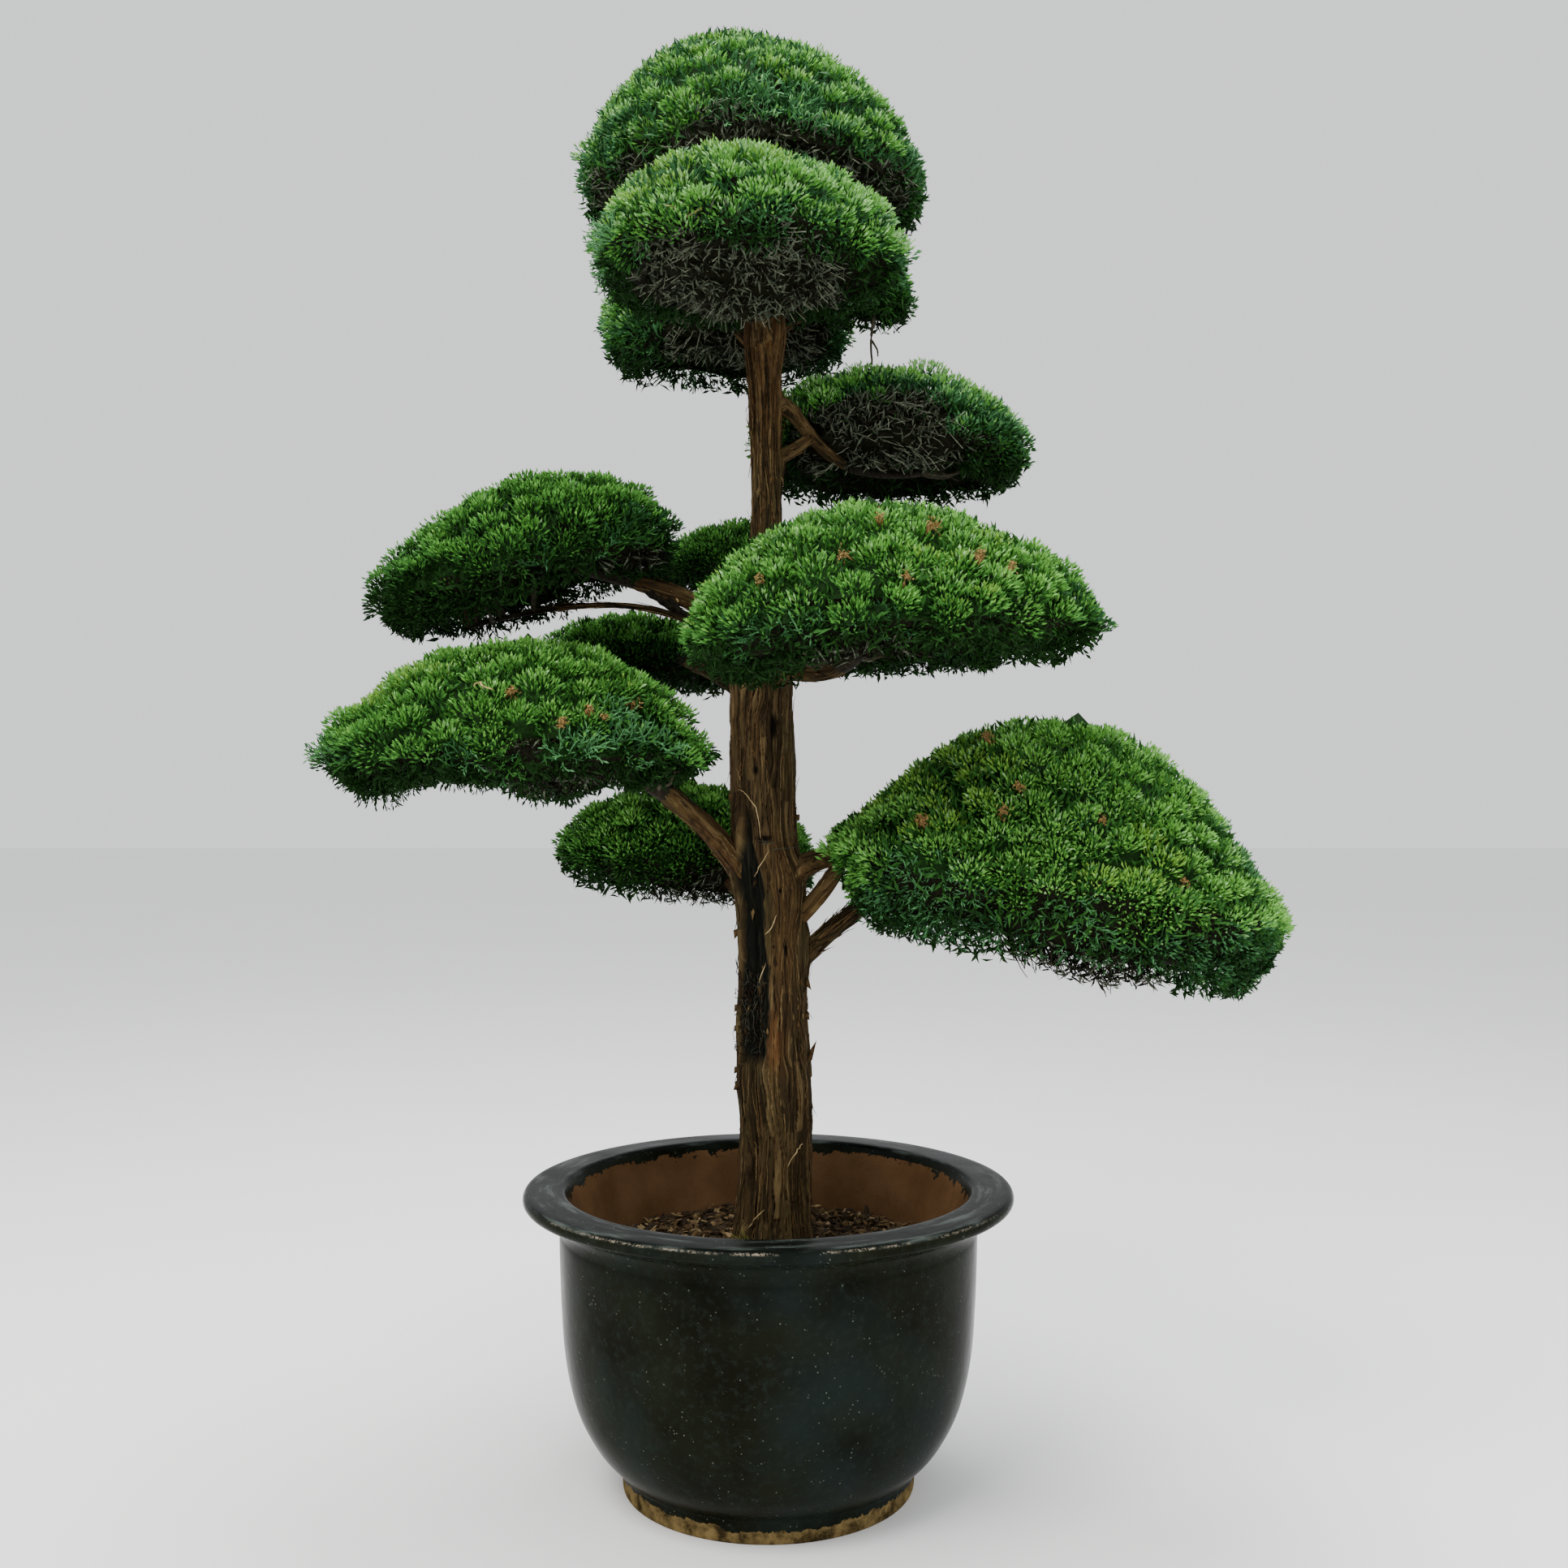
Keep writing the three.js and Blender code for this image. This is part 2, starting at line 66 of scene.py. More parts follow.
# Trunk: height, sideways lean and radius at each station
TRUNK = np.array([
    (0.4303, 0.006, 0.082), (0.452, 0.007, 0.073), (0.500, 0.009, 0.067), (0.580, 0.012, 0.0655),
    (0.660, 0.014, 0.0655), (0.735, 0.009, 0.0690), (0.790, 0.007, 0.0675), (0.850, 0.005, 0.0650),
    (0.910, 0.0045, 0.0605), (0.960, 0.0045, 0.0600), (1.055, 0.004, 0.0590), (1.140, -0.005, 0.0580),
    (1.220, -0.010, 0.0590), (1.295, -0.0105, 0.0600), (1.345, -0.011, 0.0585), (1.420, -0.014, 0.0560),
    (1.510, -0.011, 0.052), (1.610, -0.007, 0.041), (1.710, -0.004, 0.0295), (1.810, -0.0038, 0.0268),
    (1.920, -0.0058, 0.0280), (2.010, -0.008, 0.0292), (2.070, -0.008, 0.034), (2.120, -0.007, 0.040),
    (2.155, -0.008, 0.037), (2.210, -0.012, 0.027), (2.300, -0.022, 0.021), (2.420, -0.035, 0.015),
])
FURROWS = [-2.20, 1.1]  # radians, the two long furrows that part the twin stems
FURROW_DEPTH = 0.13  # of the trunk's radius
FURROW_WIDTH = 0.42
CHANNEL_FOOT = 0.772  # the rotted black channel, which runs up the first furrow
CHANNEL_TOP = 1.250
CHANNEL_DEPTH = 0.011
COLLARS = [  # bearing, height and size of the swelling where each bough leaves the trunk
    (-2.75, 1.145, 0.036), (-0.62, 1.120, 0.040), (-0.30, 1.005, 0.024), (0.10, 0.955, 0.022),
    (3.10, 1.560, 0.034), (-1.20, 1.505, 0.034), (-0.15, 1.995, 0.020), (0.0, 1.886, 0.018),
    (1.60, 1.610, 0.026), (0.80, 1.500, 0.026), (2.20, 1.440, 0.026), (1.80, 1.010, 0.028),
]
PITS = [  # bearing, height, half width and half height of scars and knot holes
    (-1.13, 1.389, 0.009, 0.024), (-1.79, 1.311, 0.006, 0.008), (-1.54, 1.187, 0.015, 0.006),
    (-1.08, 0.985, 0.004, 0.016), (-1.49, 0.990, 0.003, 0.003), (-1.20, 1.092, 0.004, 0.005),
    (2.60, 0.900, 0.006, 0.010), (1.90, 1.250, 0.007, 0.012), (0.70, 0.750, 0.006, 0.009),
    (0.30, 1.300, 0.006, 0.012),
]
WARM = (-1.40, 0.810, 0.26, 0.055)  # bearing, height and half spans of the reddish patch
SMOOTH = (-1.10, 1.020, 0.40, 0.120)  # and of the smooth plate that sweeps into the upper right bough
PALE_STRANDS = 6  # so many of the strands, the first ones, are straw-coloured, and the rest grey
STRANDS = [  # loose fibres on the trunk's front, as sideways and upright places
    [(-0.057, 1.276), (-0.039, 1.264), (-0.024, 1.248), (-0.017, 1.221), (-0.014, 1.186)],
    [(-0.030, 1.117), (-0.013, 1.139), (0.000, 1.165)],
    [(0.034, 0.592), (0.046, 0.619), (0.065, 0.632)],
    [(-0.044, 0.474), (-0.024, 0.497), (-0.008, 0.514)],
    [(-0.005, 1.013), (0.005, 1.025), (0.014, 1.049)],
    [(-0.030, 0.913), (-0.014, 0.940), (-0.007, 0.960)],
    [(-0.016, 1.176), (0.006, 1.181)],
    [(-0.019, 1.184), (0.015, 1.178)],
    [(0.002, 1.167), (0.046, 1.171)],
]
FLAKES = [  # root and tip of the flakes that stand out of the trunk's sides, sideways and upright
    (0.070, 0.765, 0.089, 0.815), (0.066, 0.930, 0.079, 0.906), (0.067, 0.868, 0.076, 0.850),
    (0.066, 0.735, 0.074, 0.755), (0.070, 0.640, 0.077, 0.622), (-0.056, 0.880, -0.063, 0.866),
    (-0.056, 0.840, -0.064, 0.830), (-0.056, 0.765, -0.064, 0.752), (-0.056, 0.730, -0.065, 0.722),
    (-0.058, 1.020, -0.063, 1.000), (-0.068, 1.270, -0.073, 1.255), (0.051, 1.230, 0.057, 1.218),
]
BARK_FIBRES = 900

# Limbs: name, mass that it carries, share of its length where it enters the mass, radius at both
# ends, and the four points of its curve. What lies beyond that share is the mass's own stem.
LIMBS = [
    ("leader", "foliage_crown", 0.0, (0.011, 0.008),
     [(-0.035, 0, 2.420), (-0.038, 0, 2.470), (-0.040, 0.060, 2.560), (-0.040, 0.150, 2.640)]),
    ("bough_lower_left", "foliage_lower_left", 0.5, (0.022, 0.016),
     [(-0.024, 0.006, 1.094), (-0.080, -0.012, 1.165), (-0.185, -0.090, 1.335), (-0.400, -0.120, 1.350)]),
    ("bough_lower_right_upper", "foliage_lower_right", 0.5, (0.023, 0.015),
     [(0.003, 0, 1.054), (0.060, -0.040, 1.196), (0.170, -0.045, 1.154), (0.480, -0.080, 1.170)]),
    ("bough_lower_right_middle", None, 1.0, (0.018, 0.014),
     [(0.006, 0, 1.000), (0.062, -0.020, 1.040), (0.108, -0.035, 1.094), (0.138, -0.038, 1.156)]),
    ("bough_lower_right_lower", "foliage_lower_right", 0.5, (0.019, 0.013),
     [(0.008, 0, 0.915), (0.090, 0.010, 0.985), (0.192, 0.020, 1.122), (0.430, 0.040, 1.150)]),
    ("bough_middle_left", "foliage_middle_left", 0.58, (0.020, 0.014),
     [(-0.010, 0, 1.480), (-0.070, 0, 1.640), (-0.220, -0.005, 1.655), (-0.450, -0.020, 1.710)]),
    ("bough_middle_left_under", "foliage_middle_left", 0.82, (0.007, 0.0045),
     [(-0.012, 0, 1.440), (-0.100, -0.020, 1.640), (-0.300, -0.050, 1.640), (-0.540, -0.060, 1.572)]),
    ("bough_middle_front", "foliage_middle_front", 0.6, (0.025, 0.013),
     [(-0.008, 0, 1.510), (0.040, -0.110, 1.499), (0.140, -0.190, 1.440), (0.185, -0.300, 1.560)]),
    ("bough_upper_right", "foliage_upper_right", 0.65, (0.015, 0.007),
     [(-0.008, 0, 1.992), (0.085, -0.012, 2.000), (0.055, -0.010, 1.830), (0.290, 0.130, 1.885)]),
    ("bough_upper_right_stub", None, 1.0, (0.015, 0.010),
     [(-0.007, 0, 1.882), (0.020, 0, 1.890), (0.050, -0.004, 1.900), (0.080, 0.002, 1.929)]),
    ("bough_upper_front", "foliage_upper_front", 0.5, (0.020, 0.010),
     [(-0.007, 0, 2.095), (-0.012, -0.050, 2.125), (-0.020, -0.100, 2.190), (-0.030, -0.160, 2.260)]),
    ("bough_upper_rear", "foliage_upper_rear", 0.62, (0.016, 0.008),
     [(-0.008, 0, 2.040), (-0.012, 0.070, 2.105), (-0.050, 0.140, 2.165), (-0.100, 0.280, 2.210)]),
    ("bough_upper_side", "foliage_upper_side", 0.66, (0.013, 0.007),
     [(-0.007, 0, 2.100), (0.025, 0.060, 2.155), (0.090, 0.110, 2.200), (0.185, 0.130, 2.250)]),
    ("bough_middle_rear", "foliage_middle_rear", 0.62, (0.017, 0.008),
     [(-0.007, 0, 1.590), (-0.020, 0.090, 1.660), (-0.030, 0.200, 1.730), (-0.050, 0.370, 1.755)]),
    ("bough_middle_rear_right", "foliage_middle_rear_right", 0.6, (0.018, 0.009),
     [(-0.009, 0, 1.470), (0.070, 0.070, 1.540), (0.150, 0.200, 1.590), (0.290, 0.350, 1.620)]),
    ("bough_rear_left", "foliage_rear_left", 0.6, (0.017, 0.008),
     [(-0.012, 0, 1.420), (-0.060, 0.080, 1.480), (-0.150, 0.190, 1.530), (-0.270, 0.340, 1.565)]),
    ("bough_low_rear", "foliage_low_rear", 0.55, (0.018, 0.009),
     [(0.002, 0, 0.985), (-0.020, 0.090, 1.050), (-0.070, 0.180, 1.110), (-0.180, 0.300, 1.150)]),
]

# Boughs in the shade of the masses, and how far painted shade darkens each of them all over.
PAINTED_SHADE_LIMBS = {"bough_middle_left_under": 0.95, "bough_lower_right_lower": 0.45, "bough_rear_left": 0.4}

# Masses. at is the middle of the widest plane, wide its half widths there, up the height above that
# plane, down the depth of the lip below it, slope the plane's rise to the right and to the rear, apex
# how far the top stands off the middle, hollow the height of the hollow underneath, and peak how peaked
# the dome is. trim says how far the tips stay inside that shape and short of its lip, light how light
# the green is, its own tone and the light and shade painted on it together, and pale what share of it
# is pale, from 0 to 1. bare and lace are patches without leaves and of open sprigs, and cover is leaves
# over a bare patch, each a direction with the cosine of its half angle. lip is how far under the rim
# the tufts go, as the height on a unit sphere, and ribs how many bare twigs show on the bare patches at
# most. low is how much darker the bottom is, as painted shade, warm how far the hue leans to yellow,
# and corner how rounded the lower edge is. sag lists where the lip hangs lower or higher, each a
# sideways place, a half width and a depth, and dead lists the brown sprigs, each a sideways place, a
# height and a size.
USUAL = dict(slope=(0, 0), apex=(0, 0), hollow=0.0, low=0.32, warm=0.0, corner=0.35,
             sag=[], bare=[], cover=[], lace=[], dead=[])
MASSES = {
    "foliage_crown": dict(
        at=(-0.038, 0.180, 2.464), wide=(0.348, 0.305), up=0.279, down=0.130, slope=(0, -0.12),
        apex=(-0.021, 0), hollow=0.060, peak=1.48, trim=(0.012, 0.000), light=0.78, pale=0.45,
        bare=[((0.06, -0.78, -0.52), 0.82), ((-0.76, -0.50, -0.46), 0.955),
              ((0.74, -0.50, -0.48), 0.945)],
        lace=[((0.15, -0.9, 0.25), 0.95)], lip=-0.52, ribs=70),
    "foliage_upper_front": dict(
        at=(-0.042, -0.150, 2.222), wide=(0.288, 0.246), up=0.182, down=0.084, slope=(0, -0.04),
        apex=(-0.008, 0), hollow=-0.125, peak=1.2, trim=(0.006, 0.006), light=0.86, pale=0.45,
        low=0.22, warm=0.06, bare=[((-0.04, -0.80, -0.60), 0.85), ((0.0, -0.25, -0.97), 0.74)],
        cover=[((-0.02, -0.94, -0.33), 0.968)],
        lace=[((-0.95, -0.3, -0.1), 0.93), ((0.1, -0.85, -0.35), 0.97)], lip=-0.36, ribs=170),
    "foliage_upper_rear": dict(
        at=(-0.097, 0.297, 2.236), wide=(0.264, 0.170), up=0.132, down=0.130, slope=(0, 0.03),
        hollow=-0.012, peak=1.0, trim=(0.006, 0.010), light=0.84, pale=0.4,
        sag=[(-0.040, 0.060, 0.016)], bare=[((0.35, -0.85, -0.30), 0.72)], lip=-0.52, ribs=90),
    "foliage_upper_side": dict(
        at=(0.192, 0.133, 2.244), wide=(0.095, 0.090), up=0.084, down=0.073, peak=1.1,
        trim=(0.010, 0.012), light=0.58, pale=0.4, lip=-0.55, ribs=10),
    "foliage_upper_right": dict(
        at=(0.243, 0.150, 1.932), wide=(0.277, 0.196), up=0.163, down=0.085, slope=(-0.025, -0.08),
        apex=(-0.008, 0), hollow=0.030, peak=0.95, trim=(0.002, 0.010), light=0.66, pale=0.5,
        corner=0.5, sag=[(0.030, 0.080, 0.008), (0.420, 0.100, -0.008)],
        bare=[((-0.20, -0.92, -0.18), 0.74)], lip=-0.50, ribs=120),
    "foliage_middle_left": dict(
        at=(-0.450, -0.020, 1.686), wide=(0.280, 0.212), up=0.176, down=0.104, slope=(0.152, 0),
        apex=(0.040, 0), hollow=0.040, peak=1.26, trim=(-0.002, 0.000), light=0.31, pale=0.12,
        low=0.24, sag=[(-0.290, 0.140, -0.044)], bare=[((0.85, -0.45, -0.4), 0.95)],
        lace=[((0.75, -0.6, -0.2), 0.88), ((0.3, -0.9, -0.25), 0.93)], lip=-0.56, ribs=26),
    "foliage_middle_rear": dict(
        at=(-0.062, 0.380, 1.744), wide=(0.200, 0.150), up=0.098, down=0.062, apex=(0.010, 0),
        peak=1.3, trim=(0.006, 0.006), light=0.34, pale=0.1, lip=-0.55, ribs=8),
    "foliage_middle_rear_right": dict(
        at=(0.300, 0.360, 1.585), wide=(0.210, 0.165), up=0.112, down=0.068, peak=1.3,
        trim=(0.006, 0.006), light=0.40, pale=0.2, lip=-0.55, ribs=8),
    "foliage_middle_front": dict(
        at=(0.195, -0.330, 1.558), wide=(0.357, 0.265), up=0.204, down=0.092, slope=(0.045, 0),
        apex=(-0.026, 0), hollow=0.14, peak=1.47, trim=(0.008, 0.008), light=0.67, pale=0.2, low=0.24,
        sag=[(-0.030, 0.080, 0.010), (0.110, 0.060, 0.006), (0.350, 0.120, -0.010)],
        dead=[(0.215, 1.600, 0.008), (0.330, 1.640, 0.011), (0.120, 1.640, 0.010),
              (0.262, 1.690, 0.013), (0.178, 1.702, 0.008), (-0.010, 1.602, 0.009),
              (0.380, 1.622, 0.008)],
        bare=[((-0.12, -0.8, -0.6), 0.975)],
        lace=[((-0.5, -0.8, -0.25), 0.955), ((0.12, -0.92, -0.30), 0.935)], lip=-0.54, ribs=14),
    "foliage_rear_left": dict(
        at=(-0.275, 0.350, 1.550), wide=(0.224, 0.160), up=0.102, down=0.084, apex=(-0.010, 0),
        peak=1.3, trim=(0.006, 0.006), light=0.30, pale=0.1, lip=-0.55, ribs=8),
    "foliage_lower_left": dict(
        at=(-0.461, -0.120, 1.355), wide=(0.359, 0.240), up=0.200, down=0.068, slope=(-0.016, 0),
        apex=(0.034, 0), hollow=-0.072, peak=1.64, trim=(0.002, -0.006), light=0.61, pale=0.12,
        low=0.50, sag=[(-0.700, 0.090, 0.026), (-0.385, 0.080, 0.030), (-0.560, 0.050, -0.006)],
        dead=[(-0.228, 1.421, 0.012), (-0.297, 1.412, 0.008), (-0.338, 1.388, 0.010),
              (-0.355, 1.366, 0.007), (-0.425, 1.442, 0.009), (-0.272, 1.398, 0.006)],
        bare=[((0.18, -0.98, 0.02), 0.994), ((0.3, -0.6, -0.75), 0.955)],
        lace=[((0.62, -0.74, 0.12), 0.88), ((0.12, -0.96, -0.22), 0.93),
              ((-0.85, -0.5, -0.15), 0.96)], lip=-0.66, ribs=40),
    "foliage_low_rear": dict(
        at=(-0.166, 0.305, 1.164), wide=(0.274, 0.198), up=0.138, down=0.121, slope=(-0.055, 0),
        apex=(0.010, 0), peak=1.3, trim=(0.006, 0.012), light=0.64, pale=0.1,
        sag=[(-0.380, 0.090, -0.022), (-0.060, 0.080, 0.006)],
        bare=[((0.3, -0.75, -0.6), 0.85)], lip=-0.56, ribs=30),
    "foliage_lower_right": dict(
        at=(0.525, -0.080, 1.134), wide=(0.424, 0.316), up=0.281, down=0.173, slope=(-0.172, 0),
        apex=(0.034, 0), hollow=0.020, peak=2.2, trim=(0.008, -0.007), light=0.98, pale=0.12,
        low=0.20, warm=-0.03, corner=0.5, sag=[(0.540, 0.110, 0.018), (0.270, 0.080, 0.002)],
        dead=[(0.395, 1.240, 0.013), (0.560, 1.225, 0.009), (0.385, 1.372, 0.011),
              (0.692, 1.125, 0.007), (0.425, 1.282, 0.011), (0.262, 1.226, 0.012)],
        bare=[((0.0, -0.75, -0.7), 0.96)],
        lace=[((-0.62, -0.72, -0.25), 0.960), ((-0.1, -0.93, -0.38), 0.972)], lip=-0.58, ribs=36),
}

GREY_WOOD, BROWN_WOOD, DARK_WOOD, STRAW_WOOD = range(4)  # places in the list of the twigs' finishes
# Dry twigs: the mass that each stands on, its half width, its finish and its points
DRY_TWIGS = [
    ("foliage_middle_left", 0.0120, DARK_WOOD,
     [(-0.222, -0.006, 1.650), (-0.196, -0.006, 1.626), (-0.160, -0.008, 1.600)]),
    ("foliage_middle_left", 0.0080, DARK_WOOD,
     [(-0.180, -0.010, 1.634), (-0.168, -0.012, 1.610), (-0.140, -0.010, 1.590)]),
    ("foliage_middle_left", 0.0022, STRAW_WOOD,
     [(-0.166, -0.016, 1.622), (-0.176, -0.020, 1.640), (-0.190, -0.018, 1.634)]),
    ("foliage_lower_left", 0.0016, STRAW_WOOD,
     [(-0.478, -0.300, 1.456), (-0.470, -0.326, 1.448), (-0.452, -0.330, 1.442)]),
    ("foliage_lower_left", 0.0012, STRAW_WOOD,
     [(-0.478, -0.300, 1.456), (-0.484, -0.318, 1.452), (-0.485, -0.322, 1.447)]),
    ("foliage_upper_side", 0.0030, BROWN_WOOD,
     [(0.200, 0.090, 2.180), (0.194, 0.084, 2.130), (0.196, 0.086, 2.084)]),
    ("foliage_upper_side", 0.0022, BROWN_WOOD,
     [(0.195, 0.085, 2.130), (0.205, 0.080, 2.112), (0.207, 0.080, 2.098)]),
    ("foliage_upper_front", 0.0020, STRAW_WOOD,
     [(-0.160, -0.260, 2.222), (-0.140, -0.340, 2.212), (-0.106, -0.372, 2.222)]),
    ("foliage_upper_front", 0.0018, STRAW_WOOD,
     [(-0.140, -0.340, 2.212), (-0.150, -0.362, 2.226), (-0.165, -0.368, 2.228)]),
]

# Foliage: tufts stand side by side over each mass, and each is a fan of shoots
TUFT_SPACING = 0.048
TUFT_DEPTH = 0.056
TUFT_SPREAD = 0.85  # radians, from a tuft's middle to its edge
# The second shell is dimmer than the first, as painted shade deeper in each tuft.
SHELLS = [(86, 1.0, 0.0), (38, 0.80, 0.38)]  # shoots, share of the depth that they reach, how much dimmer
SHOOT_LENGTH = 0.0145
SHOOT_RADIUS = 0.0022
LACE_SPRIGS = 13
LACE_SPREAD = 0.90
LACE_STEP = 0.0076  # between the bends of a lacy sprig
LACE_RADIUS = 0.0017
KNOT_RADIUS = 0.0015
INNER_DEPTH = 0.044  # from a mass's surface to its dense inside
INNER_PER_AREA = 7000  # shaded shoots on each square metre
RIB_SPACING = 0.016
RIB_RADIUS = 0.0021
FORK_RADIUS = 0.0014
PALE_RIBS = [GREY_WOOD, GREY_WOOD, GREY_WOOD, BROWN_WOOD, DARK_WOOD]
DARK_RIBS = [BROWN_WOOD, DARK_WOOD, DARK_WOOD]


# Curves and noise

def unit(v):
    """Directions of length one."""
    return v / np.maximum(np.linalg.norm(v, axis=-1, keepdims=True), 1e-12)


def smooth_line(points, steps):
    """A smooth run of points through the given ones."""
    p = np.array(points, float)
    p = np.vstack([2 * p[0] - p[1], p, 2 * p[-1] - p[-2]])
    t = np.linspace(0, 1, steps, endpoint=False)[:, None]
    runs = []
    for a, b, c, d in zip(p, p[1:], p[2:], p[3:]):
        runs.append(b + 0.5 * t * (c - a + t * (2 * a - 5 * b + 4 * c - d + t * (3 * (b - c) + d - a))))
    return np.vstack(runs + [p[-2:-1]])


def lattice(seed, i, j, wrap):
    """Repeatable values from 0 to 1 at whole-number places, with i wrapping round a limb."""
    n = (np.mod(i, wrap) * 374761393 + j * 668265263 + seed * 1442695041) & 0xFFFFFFFF
    n = ((n ^ (n >> 13)) * 1274126177) & 0xFFFFFFFF
    return ((n ^ (n >> 16)) & 0xFFFF) / 0xFFFF


def ripple(seed, u, v, wrap=1 << 20):
    """Smooth noise from 0 to 1, with u in cells round a limb and v in cells along it."""
    i, j = np.floor(u).astype(np.int64), np.floor(v).astype(np.int64)
    a, b = u - i, v - j
    a, b = a * a * (3 - 2 * a), b * b * (3 - 2 * b)
    low = lattice(seed, i, j, wrap) * (1 - a) + lattice(seed, i + 1, j, wrap) * a
    high = lattice(seed, i, j + 1, wrap) * (1 - a) + lattice(seed, i + 1, j + 1, wrap) * a
    return low * (1 - b) + high * b


def seeded(name):
    """A run of random numbers that is always the same for a name."""
    return np.random.default_rng(sum(ord(letter) * (i + 1) for i, letter in enumerate(name)))


# Materials

def rgb(r, g, b):
    """A colour given from 0 to 255 as it shows, in the linear values that a shader takes."""
    shown = np.array([r, g, b]) / 255
    linear = np.where(shown <= 0.04045, shown / 12.92, ((shown + 0.055) / 1.055) ** 2.4)
    return (*linear, 1.0)


MIX_SOCKETS = (0, 6, 7)  # a colour Mix node's share and its two colours
MIX_RESULT = 2


class Finish:
    """A procedural material, built up from a few kinds of node."""

    def __init__(self, name, roughness, specular=0.5):
        self.material = bpy.data.materials.new(name)
        self.material.use_nodes = True
        self.tree = self.material.node_tree
        self.shader = self.tree.nodes["Principled BSDF"]
        self.shader.inputs["Roughness"].default_value = roughness
        self.shader.inputs["Specular IOR Level"].default_value = specular

    def node(self, kind, **inputs):
        made = self.tree.nodes.new(kind)
        for key, value in inputs.items():
            socket = made.inputs[int(key[1:])] if key[0] == "_" else made.inputs[key.replace("_", " ")]
            if isinstance(value, bpy.types.NodeSocket):
                self.tree.links.new(value, socket)
            else:
                socket.default_value = value
        return made

    def place(self, stretch=(1, 1, 1), attribute=None):
        """Object coordinates, or a stored place on a limb, stretched along each axis."""
        if attribute:
            source = self.tree.nodes.new("ShaderNodeAttribute")
            source.attribute_name = attribute
            vector = source.outputs["Vector"]
        else:
            vector = self.tree.nodes.new("ShaderNodeTexCoord").outputs["Object"]
        return self.node("ShaderNodeMapping", Vector=vector, Scale=stretch).outputs["Vector"]

    def stored(self, attribute):
        source = self.tree.nodes.new("ShaderNodeAttribute")
        source.attribute_name = attribute
        return source.outputs["Fac"]

    def noise(self, place, scale, detail=3.0, roughness=0.55):
        made = self.node("ShaderNodeTexNoise", Vector=place, Scale=scale, Detail=detail,
                         Roughness=roughness)
        return made.outputs["Fac"]

    def between(self, value, low, high, to_low=0.0, to_high=1.0):
        """A value carried from one range to another and held at its ends."""
        made = self.node("ShaderNodeMapRange", Value=value, From_Min=low, From_Max=high,
                         To_Min=to_low, To_Max=to_high)
        return made.outputs["Result"]

    def combine(self, kind, a, b):
        made = self.node("ShaderNodeMath", _0=a, _1=b)
        made.operation = kind
        return made.outputs["Value"]

    def mix(self, share, a, b):
        made = self.tree.nodes.new("ShaderNodeMix")
        made.data_type = "RGBA"
        for place, value in zip(MIX_SOCKETS, (share, a, b)):
            if isinstance(value, bpy.types.NodeSocket):
                self.tree.links.new(value, made.inputs[place])
            else:
                made.inputs[place].default_value = value
        return made.outputs[MIX_RESULT]

    def colour(self, value):
        self.tree.links.new(value, self.shader.inputs["Base Color"])

    def rough(self, value):
        self.tree.links.new(value, self.shader.inputs["Roughness"])

    def bump(self, height, distance, strength=1.0):
        made = self.node("ShaderNodeBump", Height=height, Distance=distance, Strength=strength)
        self.tree.links.new(made.outputs["Normal"], self.shader.inputs["Normal"])


def leaf_finish(name, light, dark, specular=0.16):
    """Scale leaves pressed along a shoot: fine mottling of two near greens."""
    f = Finish(name, 0.62, specular)
    grain = f.noise(f.place(), 260.0, 2.0)
    f.colour(f.mix(f.between(grain, 0.35, 0.65), rgb(*dark), rgb(*light)))
    f.bump(grain, 0.0006, 0.5)
    return f.material


def bark_finish():
    """Stringy bark in long peeling strips, painted shade in its crevices, furrows and pits, black where
    rotted.
    """
    f = Finish("bark", 0.9, 0.10)
    fibre = f.noise(f.place((190, 190, 9), "straight"), 1.0, 5.0, 0.65)
    fine = f.noise(f.place((520, 520, 34), "straight"), 1.0, 3.0)
    patch = f.noise(f.place((6, 6, 4)), 1.0, 3.0)
    ground = f.mix(f.between(patch, 0.4, 0.62), rgb(60, 53, 30), rgb(64, 49, 29))
    ground = f.mix(f.stored("warm"), ground, rgb(92, 60, 31))
    ground = f.mix(f.between(f.stored("strip"), 0.62, 0.0, 0.0, 0.75), ground, rgb(31, 23, 11))
    ground = f.mix(f.between(f.stored("strip"), 0.72, 1.0, 0.0, 0.50), ground, rgb(104, 86, 56))
    ground = f.mix(f.between(fibre, 0.54, 0.72, 0.0, 0.80), ground, rgb(116, 98, 64))
    ground = f.mix(f.between(fibre, 0.46, 0.34, 0.0, 0.80), ground, rgb(26, 18, 8))
    ground = f.mix(f.between(fine, 0.46, 0.28, 0.0, 0.80), ground, rgb(20, 14, 6))
    # Painted shade: near black in the crevices, furrows and pits, and over the boughs that lie in shade.
    ground = f.mix(f.stored("depth"), ground, rgb(9, 6, 2))
    rot = f.mix(f.between(fibre, 0.5, 0.7), rgb(9, 10, 6), rgb(36, 36, 26))
    ground = f.mix(f.stored("scorch"), ground, rot)
    f.colour(ground)
    f.rough(f.between(fibre, 0.3, 0.7, 0.82, 0.97))
    f.bump(f.combine("ADD", fibre, f.combine("MULTIPLY", fine, 0.5)), 0.005, 1.0)
    return f.material


def twig_finish(name, light, dark):
    """Dull wood or fibre, mottled between two near colours."""
    f = Finish(name, 0.85, 0.10)
    grain = f.noise(f.place(), 120.0, 3.0)
    f.colour(f.mix(f.between(grain, 0.35, 0.65), rgb(*dark), rgb(*light)))
    f.bump(grain, 0.001, 0.5)
    return f.material


